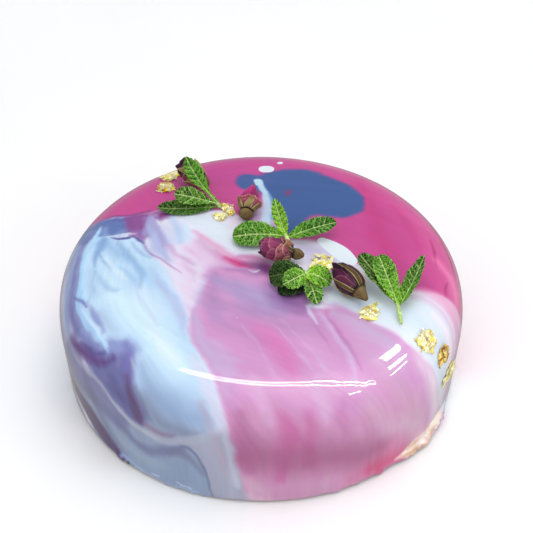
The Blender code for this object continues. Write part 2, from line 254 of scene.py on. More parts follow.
def through(points, closed, steps=5):
    """A smooth line through the points, each a tuple of numbers, as an array."""
    points = np.array(points, float)
    count = len(points)
    made = []
    for i in range(count if closed else count - 1):
        if closed:
            a, b, c, d = (points[(i + k) % count] for k in (-1, 0, 1, 2))
        else:
            a, b, c, d = (points[min(max(i + k, 0), count - 1)] for k in (-1, 0, 1, 2))
        for step in range(steps):
            t = step / steps
            bend = (2 * a - 5 * b + 4 * c - d) * t * t + (3 * b - a - 3 * c + d) * t**3
            made.append(0.5 * (2 * b + (c - a) * t + bend))
    if not closed:
        made.append(points[-1])
    return np.array(made)


def pool_depth(x, y, outline):
    """Distance inside a closed smooth outline; it is negative outside."""
    corners = through(outline, closed=True)
    nearest = np.full(x.shape, 1e9)
    inside = np.zeros(x.shape, bool)
    for (ax, ay), (bx, by) in zip(corners, np.roll(corners, -1, axis=0)):
        ex, ey = bx - ax, by - ay
        t = np.clip(((x - ax) * ex + (y - ay) * ey) / (ex * ex + ey * ey + 1e-9), 0, 1)
        nearest = np.minimum(nearest, np.hypot(x - ax - t * ex, y - ay - t * ey))
        crosses = (ay > y) != (by > y)
        inside ^= crosses & (x < ax + ex * (y - ay) / (by - ay + 1e-12))
    return np.where(inside, nearest, -nearest)


def ribbon_depth(x, y, path):
    """Distance inside a ribbon given by points (x, y, width); it is negative outside."""
    line = through(path, closed=False)
    deepest = np.full(x.shape, -1e9)
    for (ax, ay, aw), (bx, by, bw) in zip(line, line[1:]):
        ex, ey = bx - ax, by - ay
        t = np.clip(((x - ax) * ex + (y - ay) * ey) / (ex * ex + ey * ey + 1e-9), 0, 1)
        half = (aw + (bw - aw) * t) / 2
        deepest = np.maximum(deepest, half - np.hypot(x - ax - t * ex, y - ay - t * ey))
    return deepest


def edge_waves(x, y, seed):
    """How far the colours' edges wander here, in long waves and in short ones."""
    return 1.5 * clouds(x, y, 13, seed) + 0.45 * clouds(x, y, 3.7, seed + 2)


class Marbling:
    """Colours laid over each other on the unrolled glaze, at many places at once."""

    def __init__(self, x, y, ground):
        self.x = x + edge_waves(x, y, 11)
        self.y = y + edge_waves(x, y, 21)
        self.flow = flow_streaks(x, y, 31) * (0.75 + 0.5 * clouds(x, y, 9, 51))
        self.other_flow = flow_streaks(x, y, 41)
        self.cloud = clouds(x, y, 8, 53)
        self.colour = np.tile(np.array(ground, float), (len(x), 1))
        self.relief = np.zeros(len(x))

    def lay(self, colour, shape, depth_in, soft=2.0, strength=1.0, feather=0.0,
            streaky=0.0, patchy=0.0, raised=0.0):
        """Lay a colour inside a shape; depth_in tells how deep places are in it.

        soft is half the width of its blurred edge, feather how far the edge follows the flow and
        raised how thick it lies, in mm; streaky and patchy are how much of it thins out in
        streaks and in soft patches.
        """
        outline = np.array(shape, float)
        half_width = outline[:, 2].max() / 2 if outline.shape[1] > 2 else 0
        margin = soft + 1.5 * feather + SPARE_MARGIN + half_width
        low, high = outline[:, :2].min(axis=0) - margin, outline[:, :2].max(axis=0) + margin
        near = (self.x > low[0]) & (self.x < high[0]) & (self.y > low[1]) & (self.y < high[1])
        depth = depth_in(self.x[near], self.y[near], shape)
        share = smooth((depth + feather * self.flow[near]) / (2 * soft) + 0.5)
        self.relief[near] += raised * share
        share = share * (1 - streaky * smooth(0.5 + THINNING * self.other_flow[near]))
        share = share * (1 - patchy * smooth(0.5 + THINNING * self.cloud[near]))
        step = np.array(colour, float) - self.colour[near]
        self.colour[near] += step * (strength * share)[:, None]

    def pool(self, colour, outline, **how):
        """Lay a colour inside a closed outline of points (x, y)."""
        self.lay(colour, outline, pool_depth, **how)

    def ribbon(self, colour, path, **how):
        """Lay a colour along a path of points (x, y, width)."""
        self.lay(colour, path, ribbon_depth, **how)

    def brush(self, strength):
        """Fine streaks all over: the colour is darker or lighter along the way it ran."""
        self.colour *= (1 + strength * self.other_flow)[:, None]


def paint_back(art):
    """Magenta with hotter and darker runs, paler towards the rim where salmon is laid as painted
    reflection.
    """
    art.ribbon(HOT_PINK, [(20, 78, 8), (46, 64, 14), (66, 44, 18), (78, 20, 20), (86, -10, 24),
                          (90, -24, 22)], soft=9, strength=0.6, feather=3)
    # Painted reflection: salmon along the back and right rim stands for the bright room seen at a grazing
    # angle.
    art.ribbon(RIM_REFLECTION_SALMON, [(10, 82, 6), (50, 68, 8), (74, 48, 8), (88, 22, 9), (96, -4, 14), (101, -30, 18)],
               soft=5, strength=0.6, feather=2)
    art.ribbon(DEEP_MAGENTA, [(47, 56, 3), (50, 34, 6), (53, 14, 8), (56, -10, 5)],
               soft=6, strength=0.45, feather=4)
    art.ribbon(DEEP_MAGENTA, [(60, 36, 2), (65, 22, 3), (69, 4, 2)], soft=3, strength=0.3, feather=2)
    art.ribbon(DARK_ROSE, [(50, 62, 0.6), (66, 51, 1.2), (77, 35, 1.4), (82, 18, 1.6), (86, 4, 1.4),
                           (88, -6, 0.4)], soft=0.9, strength=0.75)
    art.ribbon(DARK_ROSE, [(75, 12, 0.4), (77, 2, 1.3), (77, -6, 0.4)], soft=0.8, strength=0.65)
    art.ribbon(DARK_ROSE, [(82, -14, 0.4), (80.5, -18, 1.1), (80, -23, 0.4)], soft=0.8, strength=0.65)
    art.ribbon((190, 62, 150), [(-30, 58, 12), (-10, 56, 16), (20, 20, 14)],
               soft=12, strength=0.5, feather=3)


def paint_veil(art):
    """The pale half that runs over the magenta from the left to the front and the right."""
    front = [(-150, 26), (-95, 24), (-78, 26), (-60, 27), (-48, 31), (-38, 31), (-20, 31), (-8, 24),
             (4, 8), (20, 9), (32, 5), (46, -12), (64, -24), (84, -24), (104, -27), (160, -34),
             (160, -170), (-170, -170)]
    art.pool(LILAC_WHITE, front, soft=1.4, feather=0.6)
    art.ribbon((152, 152, 190), [(-84, 34, 3), (-96, 10, 12), (-102, -20, 24), (-104, -50, 34)],
               soft=8, strength=0.9, feather=3)
    art.pool((176, 190, 226), [(-104, 34), (-112, 8), (-112, -30), (-122, -52), (-150, -60), (-150, 34)],
             soft=3, feather=1)
    art.ribbon((116, 122, 184), [(-104, 30, 2), (-114, 14, 7), (-117, -8, 9), (-124, -28, 8),
                                 (-138, -38, 6)], soft=3, strength=0.85, feather=1)
    art.ribbon((212, 228, 248), [(-108, 34, 1), (-122, 20, 5), (-127, 0, 5), (-134, -18, 4)],
               soft=2, strength=0.8, feather=1)
    art.ribbon((150, 92, 160), [(-106, 36, 1), (-117, 30, 4), (-130, 22, 5), (-144, 16, 4)],
               soft=2.4, strength=0.8, feather=1)
    art.ribbon((184, 190, 214), [(-88, 18, 3), (-93, 0, 5), (-94, -14, 4)],
               soft=4, strength=0.6, feather=3)
    art.ribbon((140, 152, 202), [(-79, 14, 4), (-80, -10, 6), (-79, -30, 7), (-73, -44, 9), (-62, -54, 9),
                                 (-52, -58, 6)], soft=2.4, strength=0.95)
    art.ribbon((134, 156, 202), [(-82, 26, 3), (-84, 8, 6), (-85, -12, 7), (-86, -30, 7), (-88, -42, 5)],
               soft=3, strength=0.92, feather=2.5)
    art.ribbon((110, 106, 166), [(-82.6, -18, 1.5), (-82, -30, 5), (-79, -40, 6)],
               soft=3, strength=0.8, feather=2)
    art.ribbon((104, 86, 136), [(-84, -40, 2), (-80.4, -46, 5), (-76, -52, 4)],
               soft=3, strength=0.85, feather=2)


def paint_left_patch(art):
    """Slate and purple below the magenta, at the far left."""
    art.pool((84, 108, 172), [(-83, 24), (-70, 26), (-60, 26), (-58, 18), (-62, 14.4), (-73, 12),
                              (-82, 12)], soft=1.8, strength=0.95, feather=2, patchy=0.2)
    art.ribbon((130, 158, 204), [(-66, 13, 1), (-62, 16.5, 3), (-59, 20, 1)], soft=2.4, strength=0.7)
    art.ribbon((98, 86, 160), [(-70, 24.6, 1), (-62, 24, 2), (-57, 25, 1)],
               soft=1.6, strength=0.6, feather=1)
    art.ribbon((128, 140, 200), [(-80, 22, 1.5), (-76, 16, 2), (-74, 11, 1)], soft=1.6, strength=0.5)
    art.pool((132, 66, 138), [(-62, 26), (-54, 29), (-44, 31), (-41, 27), (-48, 22), (-49.5, 11),
                              (-54, 10), (-59, 15)], soft=2.2, strength=0.95, feather=2.5)
    art.ribbon((150, 124, 186), [(-57, 15, 2), (-52, 14.6, 5), (-49, 18, 3)],
               soft=3, strength=0.75, feather=2)
    art.ribbon((186, 70, 140), [(-56, 29, 1), (-50, 28, 3), (-44, 29, 1)], soft=2, strength=0.4)
    art.ribbon((92, 44, 112), [(-76, 25.4, 0.6), (-68, 27.2, 1.0), (-59, 27.4, 1.0), (-51, 31, 0.6)],
               soft=0.9, strength=0.65)
    art.ribbon((176, 160, 208), [(-47, 29, 0.6), (-49, 24, 1.6), (-46.5, 18, 1.0)],
               soft=1.2, strength=0.65, feather=1)


LOBE = [(-77, 13), (-66, 12.4), (-56, 11), (-48, 0), (-41, -12), (-35, -25), (-31, -38), (-28, -50),
        (-24, -62), (-19, -75), (-15, -92), (-13, -110), (-14, -140), (-40, -140), (-50, -100),
        (-52, -84), (-51, -66), (-51, -55), (-60, -52), (-68, -49), (-74, -36), (-76, -16), (-77, 0)]


def paint_lobe(art):
    """The big pale blue lobe: cloudy, with darker folds that run down to the right; along the raised fold
    the darker blue is partly painted shade.
    """
    art.pool((194, 222, 247), LOBE, soft=1.2, feather=0.8)
    art.ribbon((150, 184, 224), [(-75, 9, 2), (-69, 9, 5), (-64, 4, 5), (-58, -2, 3)],
               soft=3.5, strength=0.8, feather=1.5)
    art.ribbon((128, 164, 212), [(-71.4, 3, 0.4), (-67.6, -3.6, 1.2), (-63.6, -10, 0.4)],
               soft=0.9, strength=0.75)
    art.ribbon((136, 166, 210), [(-56.5, 8, 0.8), (-52.5, 2, 1.6), (-47, -2.5, 0.8)],
               soft=1.2, strength=0.6)
    art.ribbon((166, 206, 239), [(-62, 2, 3), (-54, -7, 6), (-49, -16, 6), (-44, -22, 3)],
               soft=4, strength=0.75, feather=1, patchy=0.3)
    art.ribbon((150, 190, 230), [(-60, -8, 0.8), (-56, -15, 2.0), (-52.4, -21.4, 2.8)],
               soft=1.5, strength=0.65)
    art.ribbon((150, 182, 218), [(-74, -10, 1), (-72, -20, 3), (-68, -26, 2)],
               soft=2.4, strength=0.5, patchy=0.4)
    art.ribbon((208, 234, 250), [(-66, -13, 3), (-62, -20, 5), (-64, -28, 3)],
               soft=3, strength=0.7, patchy=0.5)
    art.ribbon((212, 238, 252), [(-62, -27, 6), (-55, -33, 12), (-46, -44, 12), (-38, -56, 9),
                                 (-31, -68, 5)], soft=6, strength=0.95, feather=1.2)
    art.ribbon((226, 240, 252), [(-44, -48, 2), (-37, -58, 5), (-33, -66, 3)],
               soft=3, strength=0.7, feather=1)
    art.ribbon((168, 190, 222), [(-67, -36, 2), (-64, -42, 4), (-60, -47, 4)],
               soft=3, strength=0.7, patchy=0.3)
    art.ribbon((216, 232, 249), [(-52, -20, 2), (-46, -30, 4), (-40, -40, 3)],
               soft=3, strength=0.6, feather=1)
    art.ribbon((172, 196, 236), [(-47, -10, 1), (-41.8, -20, 3), (-35, -29, 3.6), (-31, -40, 3),
                                 (-31, -48, 1)], soft=2, strength=0.7, feather=1)
    art.ribbon((216, 226, 246), [(-42, -14, 0.5), (-36, -24, 1.4), (-31, -33, 1.2), (-28.6, -43, 0.5)],
               soft=1.4, strength=0.7)
    art.ribbon((198, 196, 230), [(-53, -24, 0.5), (-47, -35, 1.0), (-41, -46, 0.5)],
               soft=1.4, strength=0.4, feather=1)
    art.ribbon((142, 164, 204), [(-47, -66, 3), (-43, -78, 11), (-34, -86, 13), (-25, -90, 8)],
               soft=7, strength=0.8, feather=1.2)
    art.ribbon((128, 136, 164), [(-48, -78, 2), (-44, -90, 9), (-34, -96, 9), (-26, -96, 3)],
               soft=5, strength=0.85, feather=1)
    # Darker blue along a raised fold: partly the glaze's colour, partly painted shade.
    art.ribbon((134, 168, 212), [(-63, 9.3, 1.0), (-55.7, -2.4, 3.2), (-51.7, -13.7, 2.6),
                                 (-50.5, -23.4, 0.8)], soft=1.8, strength=0.6, feather=0.8, raised=0.12)
    art.ribbon((146, 182, 220), [(-71.4, -10.8, 1), (-65.6, -20.3, 2.6), (-60.6, -23, 2)],
               soft=1.6, strength=0.55)
    art.ribbon((222, 240, 252), [(-67, -1, 1), (-62, -10, 2.4), (-58, -16, 1.4)], soft=1.6, strength=0.6)
    art.ribbon((184, 192, 228), [(-43.2, -19.3, 1), (-37.4, -29.4, 3), (-32.1, -42.7, 3),
                                 (-29.6, -51.8, 1)], soft=1.8, strength=0.6, feather=1)
    art.ribbon((104, 110, 142), [(-51, -74, 1), (-50, -84, 3.4), (-49, -91, 3.4)], soft=2, strength=0.8)
    art.ribbon((216, 216, 238), [(-27, -62, 2), (-22, -75, 5), (-17, -88, 5), (-15.5, -104, 4)],
               soft=2.4, strength=0.85, feather=1)
    art.ribbon((186, 166, 194), [(-24, -84, 2), (-21, -98, 4), (-20, -116, 3)],
               soft=3, strength=0.7, feather=1.2)


def paint_ridge(art):
    """The raised pale blades along the left shoulder, with painted highlights on them, painted shade
    along their sides, and the other dark lines that go with them.
    """
    # Painted shade along the left side of the first blade.
    art.ribbon((112, 114, 178), [(-78, 18, 0.8), (-80.6, 8, 1.8), (-82, -6, 2.6), (-82, -18, 3.2),
                                 (-82, -28, 3.4), (-79, -38, 3.0), (-74, -46, 2.0), (-67, -53, 1.0)],
               soft=1.6, strength=0.8, feather=1.4, patchy=0.35)
    # Painted shade along the right side of the first blade.
    art.ribbon((126, 164, 213), [(-70.6, 19, 1.0), (-69.8, 9, 3.4), (-71.4, 0, 2.6), (-71.8, -8, 1.0)],
               soft=1.5, strength=0.85)
    # Fainter painted shade further down the same side.
    art.ribbon((150, 184, 222), [(-72, -10, 1.0), (-71, -19, 1.6), (-71.6, -27, 1.0)],
               soft=1.4, strength=0.5)
    # Painted shade along the right side of the second blade.
    art.ribbon((122, 126, 186), [(-72.6, -28, 0.8), (-70, -35, 2.2), (-67, -41.6, 2.4), (-64, -47, 1.6)],
               soft=1.2, strength=0.7, patchy=0.4)
    art.ribbon((170, 214, 252), [(-72.6, 21, 0.4), (-74.8, 9.6, 3.9), (-77, 0.8, 3.8), (-77.2, -8.4, 3.5),
                                 (-76.9, -18, 3.9), (-76.7, -24, 3.2), (-73.8, -28, 0.8)],
               soft=0.55, raised=0.28)
    # Painted highlight on the first blade.
    art.ribbon((202, 234, 254), [(-74, 14, 0.5), (-76, 4, 1.4), (-76.6, -8, 1.5), (-76.2, -20, 1.0)],
               soft=1.0, strength=0.75)
    art.ribbon((168, 204, 242), [(-78.6, -24.6, 0.8), (-76.6, -29, 3.3), (-74.6, -33.6, 3.6),
                                 (-71.6, -40.4, 3.5), (-67.2, -47, 3.2), (-63.5, -52.4, 2.6),
                                 (-61.4, -57, 0.4)], soft=0.6, feather=0.5, raised=0.22)
    # Painted highlight on the second blade.
    art.ribbon((214, 236, 254), [(-75.4, -30, 0.5), (-70.6, -40, 1.3), (-65.6, -48, 1.6),
                                 (-62.4, -54.6, 0.6)], soft=0.7, strength=0.8, feather=0.8)
    art.ribbon((104, 108, 176), [(-80.4, -22.4, 0.9), (-77.6, -24.8, 1.3), (-74.8, -27.4, 1.2),
                                 (-72.8, -30.6, 0.5)], soft=0.7, strength=0.85, feather=0.5)
    art.ribbon((76, 74, 146), [(-67, 12.4, 0.4), (-63, 11.4, 1.4), (-59.4, 11.4, 1.7), (-57, 11.9, 0.9),
                               (-54.2, 9.4, 1.3), (-51.6, 7.4, 0.5)], soft=0.6, strength=0.9)
    # Painted highlight on a small curl above the dark line.
    art.ribbon((226, 236, 249), [(-70, 12.4, 0.3), (-65, 13.6, 0.9), (-60, 14.6, 1.2), (-56, 13.8, 0.4)],
               soft=0.8, strength=0.8)
    art.ribbon((120, 118, 178), [(-52.4, 8, 0.5), (-48.6, 2.4, 1.0), (-46, -1.4, 0.5)],
               soft=0.7, strength=0.75)
    art.ribbon((160, 112, 178), [(-47, 0.4, 0.4), (-43, -4, 0.9), (-38.4, -9.6, 0.8), (-34.6, -14, 0.3)],
               soft=0.7, strength=0.75)


def paint_middle(art):
    """Pale blues, lilacs and a pink run between the lobe and the front pool."""
    art.ribbon((168, 180, 222), [(-50, 27, 1.5), (-48, 15, 8), (-44, 5, 9), (-40, -4, 4)],
               soft=3, strength=0.92, feather=2.5)
    art.ribbon((170, 152, 204), [(-49, 24, 1), (-46, 14, 2.4), (-43, 5, 1.6)],
               soft=1.8, strength=0.6, feather=2)
    art.ribbon((206, 208, 236), [(-43, 24, 0.6), (-41.6, 12, 1.2), (-38, 2, 0.8)],
               soft=1.4, strength=0.55, feather=1.6)
    art.ribbon((176, 204, 238), [(-41, 27, 3), (-38.4, 16, 4), (-36, 8, 2)],
               soft=2.6, strength=0.85, feather=2)
    art.ribbon((196, 226, 248), [(-36, 27, 1), (-34.6, 17, 2.4), (-32, 8, 1)],
               soft=2, strength=0.7, feather=1.5)
    art.ribbon((224, 234, 247), [(-33, 28, 8), (-24, 20, 14), (-12, 9, 12), (-3, 2, 6)],
               soft=5, strength=0.9, feather=2)
    art.ribbon((234, 214, 232), [(-14, 24, 3), (-6, 14, 6), (0, 4, 4)], soft=4, strength=0.6, feather=2)
    art.ribbon((228, 202, 230), [(-40, 4, 2), (-34, -8, 7), (-29.6, -22, 6), (-28.6, -38, 3)],
               soft=3.4, strength=0.85, feather=3, streaky=0.3)
    art.ribbon((196, 150, 200), [(-41, 6, 0.5), (-35, -1.6, 1.4), (-29, -8, 0.8)],
               soft=1.6, strength=0.65, feather=2)
    art.ribbon((206, 166, 208), [(-34, -7, 0.6), (-30, -13, 1.6), (-28, -19, 0.6)],
               soft=1.6, strength=0.5, feather=2)
    art.ribbon((228, 190, 224), [(-32, 3, 2), (-26, -3, 6), (-21, -10, 6), (-24, -20, 3)],
               soft=3, strength=0.8, feather=3, streaky=0.25)
    art.ribbon((216, 128, 184), [(-19, 1, 2), (-13, -5, 6), (-6, -9, 6)],
               soft=3, strength=0.85, feather=2)
    art.ribbon((214, 152, 202), [(-27, 7, 3), (-20, -1, 6), (-13, -6, 8), (-8, -9, 6)],
               soft=4, strength=0.75, feather=2)
    art.ribbon((224, 154, 198), [(-30, 15, 0.5), (-24.8, 9.2, 2), (-17.5, 2.9, 3.4), (-11.5, -3.4, 4.4),
                                 (-8, -6, 4)], soft=2.2, strength=0.8, feather=1.5)
    art.ribbon((238, 186, 214), [(-25, 9, 0.3), (-18, 2.4, 0.9), (-12, -4, 0.6)], soft=0.9, strength=0.6)
    art.ribbon((196, 132, 178), [(-9, -1.4, 2), (-3, -3, 4), (2, -5.5, 3)],
               soft=2, strength=0.8, feather=1)
    art.ribbon((208, 54, 126), [(-15.4, -2.6, 0.8), (-11.8, -5.4, 3), (-8.6, -8.2, 4), (-5, -10.6, 3)],
               soft=2, strength=0.95)
    art.ribbon((140, 66, 128), [(-7, -7.4, 2), (-3, -7.6, 4), (1, -9, 6), (4, -12, 7)],
               soft=3, strength=0.9)
    art.ribbon((204, 120, 174), [(-10, -2.6, 1), (-5, -3.4, 2.4), (-1, -4.6, 1.6)],
               soft=1.6, strength=0.7)
    art.ribbon((196, 186, 220), [(12, 6, 4), (24, 0, 10), (30, -12, 10)], soft=4, strength=0.8, feather=2)


FRONT_POOL = [(-19, -11), (-10, -10.5), (0, -13), (8, -19), (18, -24), (26, -28), (34, -34.5),
              (43, -42), (51, -47.5), (58, -52.5), (66, -56), (76, -58), (100, -60), (150, -70),
              (150, -160), (-8, -160), (-10, -122), (-12.5, -104), (-14, -86), (-18, -73), (-24, -60),
              (-27.5, -48), (-27, -36), (-24.4, -24), (-22, -16)]


def paint_front(art):
    """The pink and mauve pool in front, with lighter threads that run down to the right, painted shadows
    of the front sprig and, in part, of the middle rosebud.
    """
    art.pool(CANDY, FRONT_POOL, soft=1.5, feather=0.8)
    art.ribbon((192, 140, 192), [(-12, -44, 10), (2, -46, 12), (16, -46, 12), (28, -42, 6)],
               soft=7, strength=0.85, feather=3)
    art.ribbon((196, 176, 215), [(-23, -16, 1), (-25.4, -28, 3.4), (-25.6, -44, 4), (-22, -56, 5),
                                 (-17, -68, 5)], soft=2.6, strength=0.85, feather=2, streaky=0.3)
    art.ribbon((176, 138, 188), [(-19, -16, 4), (-20, -28, 7), (-18, -40, 6)],
               soft=4, strength=0.9, feather=3, streaky=0.2)
    art.ribbon((200, 150, 200), [(-24, -16, 3), (-20, -11, 5), (-13, -10, 3)], soft=3, strength=0.7)
    art.ribbon((158, 112, 172), [(-13, -12, 1.5), (-8, -12.6, 2.6), (-3, -14, 4)],
               soft=2.4, strength=0.7, feather=1)
    art.ribbon((176, 152, 200), [(-17, -20, 4), (-8, -25, 12), (0, -30, 13), (8, -36, 6)],
               soft=4.5, strength=0.92, feather=3, streaky=0.15)
    art.ribbon((172, 138, 188), [(-14, -34, 5), (-4, -37, 8), (6, -39, 6)],
               soft=4, strength=0.7, feather=3)
    art.ribbon((184, 174, 214), [(-8, -20, 1), (-1, -27, 3), (4, -33, 2)],
               soft=2.4, strength=0.3, feather=3)
    art.ribbon((146, 112, 172), [(3, -22, 4), (9, -29, 7), (15, -33, 6), (19, -31, 3)],
               soft=4, strength=0.7, feather=3)
    # Painted shadow of the front sprig.
    art.ribbon((124, 84, 150), [(9, -21, 3), (15, -25, 6), (20, -28, 5)], soft=3, strength=0.6, feather=2)
    art.ribbon((192, 130, 186), [(-10, -42, 3), (-3, -46, 7), (0, -54, 8)],
               soft=5, strength=0.7, feather=3)
    art.ribbon((216, 122, 184), [(-2, -44, 3), (5, -54, 9), (10, -64, 9), (13, -74, 4)],
               soft=5, strength=0.85, feather=3)
    art.ribbon((202, 172, 214), [(-17, -56, 2), (-13, -68, 7), (-12, -80, 5)],
               soft=3.4, strength=0.8, feather=3)
    art.ribbon((212, 162, 207), [(16, -48, 3), (24, -62, 8), (28, -76, 8)],
               soft=5, strength=0.7, feather=3)
    art.ribbon((222, 168, 210), [(-6, -78, 4), (8, -80, 8), (24, -79, 8), (40, -74, 5)],
               soft=5, strength=0.75, feather=3)
    art.ribbon((212, 180, 220), [(2, -40, 0.5), (10, -52, 1.0), (20, -70, 0.6)],
               soft=1, strength=0.6, feather=1.5)
    art.ribbon((214, 182, 220), [(9, -42, 0.4), (17, -54, 1.0), (26, -70, 0.5)],
               soft=1, strength=0.55, feather=1.5)
    art.ribbon((210, 176, 218), [(-7, -46, 0.4), (0, -60, 0.8), (5, -74, 0.4)],
               soft=1, strength=0.45, feather=1.5)
    art.ribbon((212, 190, 226), [(23, -36, 0.8), (28, -43, 2.4), (32.4, -52, 3.4), (35.9, -62, 3.4),
                                 (38, -72, 1.6)], soft=2.2, strength=0.75, feather=2)
    art.ribbon((186, 104, 172), [(27, -39, 0.5), (32, -48, 1.8), (36, -57, 1.6), (40.6, -69, 0.5)],
               soft=1.1, strength=0.7, feather=1)
    art.ribbon((184, 114, 178), [(20.6, -42, 0.4), (25, -51, 1.0), (29, -61, 0.4)],
               soft=0.9, strength=0.45, feather=1)
    art.ribbon((204, 178, 215), [(30, -37, 3), (40, -45, 7), (49, -53, 7), (57, -62, 4)],
               soft=4, strength=0.85, feather=3, streaky=0.3)
    art.ribbon((212, 166, 208), [(40, -56, 4), (50, -66, 9), (60, -72, 8)],
               soft=5, strength=0.75, feather=3)
    # Painted shadow of the front sprig, further towards the front.
    art.ribbon((128, 86, 148), [(5, -28, 4), (12, -31.6, 8), (18, -35, 7), (21, -36, 3)],
               soft=4, strength=0.55, feather=2)
    art.ribbon((212, 206, 232), [(19.4, -33, 0.8), (20.8, -38, 2.0), (23, -44, 0.8)],
               soft=0.8, strength=0.85)
    art.ribbon((200, 66, 128), [(25, -28, 1), (28, -33, 2.6), (27, -38, 1)], soft=1.8, strength=0.3)
    # Dark plum in front of the middle rosebud: partly the marble's own plum, partly painted shadow of the
    # bud.
    art.ribbon((116, 60, 120), [(-3.4, -9.6, 2), (1, -11.2, 5), (5, -13.6, 6)], soft=2.4, strength=0.85)
    # Painted highlight on a small curl of glaze.
    art.ribbon((236, 226, 244), [(-5.2, -12.4, 0.4), (-3.2, -13.2, 0.8), (-1.4, -12.0, 0.4)],
               soft=0.4, strength=0.9)


def paint_front_wall(art):
    """Duller pinks down the front, in broad upright runs, and a broad band of painted shade across its
    lower part.
    """
    art.pool((204, 146, 184), [(-11, -90), (6, -86), (24, -88), (44, -84), (60, -78), (86, -84),
                               (120, -96), (90, -160), (0, -160), (-10, -130)],
             soft=6, strength=0.9, feather=3)
    art.ribbon((214, 164, 194), [(50, -72, 4), (64, -76, 9), (80, -79, 12), (100, -84, 12)],
               soft=6, strength=0.9, feather=3)
    art.ribbon((218, 180, 206), [(66, -82, 3), (76, -86, 5), (88, -86, 3)],
               soft=4, strength=0.7, feather=2)
    art.ribbon((220, 172, 214), [(-3, -76, 4), (0, -84, 4), (3.6, -92, 2.4)],
               soft=3, strength=0.8, feather=2.5)
    art.ribbon((206, 150, 200), [(-11, -76, 3), (-10, -86, 3)], soft=2.4, strength=0.7, feather=2)
    art.ribbon((188, 122, 168), [(-8, -90, 4), (-7, -102, 7), (-5, -117, 6)],
               soft=3, strength=0.9, feather=3)
    art.ribbon((198, 154, 190), [(2, -90, 1.6), (1.6, -102, 2), (1, -122, 1)],
               soft=2, strength=0.6, feather=2)
    art.ribbon((202, 112, 168), [(9, -88, 2), (12, -95, 8), (12, -106, 9), (11, -124, 6)],
               soft=3.4, strength=0.9, feather=3)
    art.ribbon((200, 116, 168), [(19, -88, 3), (22, -98, 8), (25, -112, 7)],
               soft=3.4, strength=0.85, feather=3)
    art.ribbon((216, 176, 214), [(22, -74, 4), (25, -82, 5), (28, -90, 2)],
               soft=3, strength=0.8, feather=3)
    art.ribbon((202, 132, 184), [(33, -80, 2), (36, -88, 4), (40, -98, 1.5)],
               soft=2.4, strength=0.7, feather=2)
    art.ribbon((204, 168, 200), [(41, -82, 0.8), (46, -94, 2), (52, -108, 1)],
               soft=1.8, strength=0.5, feather=2)
    art.ribbon((208, 166, 194), [(34, -102, 1.5), (36, -114, 3), (39, -128, 3)],
               soft=2, strength=0.65, feather=2)
    art.ribbon((202, 140, 178), [(44, -98, 4), (50, -112, 7), (54, -124, 4)],
               soft=4, strength=0.6, feather=3)
    art.ribbon((206, 170, 194), [(-12, -122, 4), (-3, -128, 6), (4, -132, 3)],
               soft=4, strength=0.75, feather=3)
    art.ribbon((196, 150, 182), [(18, -122, 3), (30, -130, 6), (44, -126, 4)],
               soft=4, strength=0.5, feather=3)
    art.ribbon((210, 122, 164), [(56, -122, 4), (66, -110, 12), (76, -99, 14), (92, -94, 10)],
               soft=7, strength=0.8, feather=4)
    art.ribbon((208, 84, 130), [(66, -115, 5), (77, -108, 10), (90, -101, 8)],
               soft=5, strength=0.9, feather=3)
    # Painted shade: a broad darker band across the lower front wall, where the wall gets less light.
    art.ribbon((160, 86, 128), [(-10, -109, 18), (10, -110, 20), (30, -109, 18), (52, -106, 16),
                                (68, -99, 6)], soft=9, strength=0.7, feather=3)
    art.ribbon((216, 192, 208), [(-20, -137, 7), (-4, -138, 7), (12, -141, 4)],
               soft=4, strength=0.7, feather=3)
    art.ribbon((218, 178, 204), [(46, -82, 6), (62, -88, 9), (80, -88, 10), (98, -88, 8)],
               soft=6, strength=0.6, feather=3)
    art.ribbon((242, 228, 240), [(66, -58, 3), (84, -63, 9), (106, -68, 12)],
               soft=6, strength=0.85, feather=2)
    art.ribbon((255, 248, 228), [(87, -104.5, 2), (95.2, -97, 4.4), (104.2, -87, 5.4),
                                 (112.2, -75.8, 5.4), (119, -62.6, 4)],
               soft=1.1, strength=0.95, feather=1.5, patchy=0.2)
    art.ribbon((196, 124, 84), [(90, -102.6, 0.6), (97, -96.6, 1.4), (105, -88, 0.8), (110, -80.6, 1.5),
                                (115, -73, 0.6)], soft=0.6, strength=0.55, feather=1)
    art.ribbon((206, 140, 110), [(89.8, -100, 0.4), (96.9, -93.4, 1.2), (103, -85.7, 0.5),
                                 (109, -76.5, 1.1)], soft=0.6, strength=0.45, feather=1)
    art.ribbon((216, 168, 206), [(60, -57, 1), (68, -64, 3), (76, -74, 2)],
               soft=3, strength=0.5, feather=2)


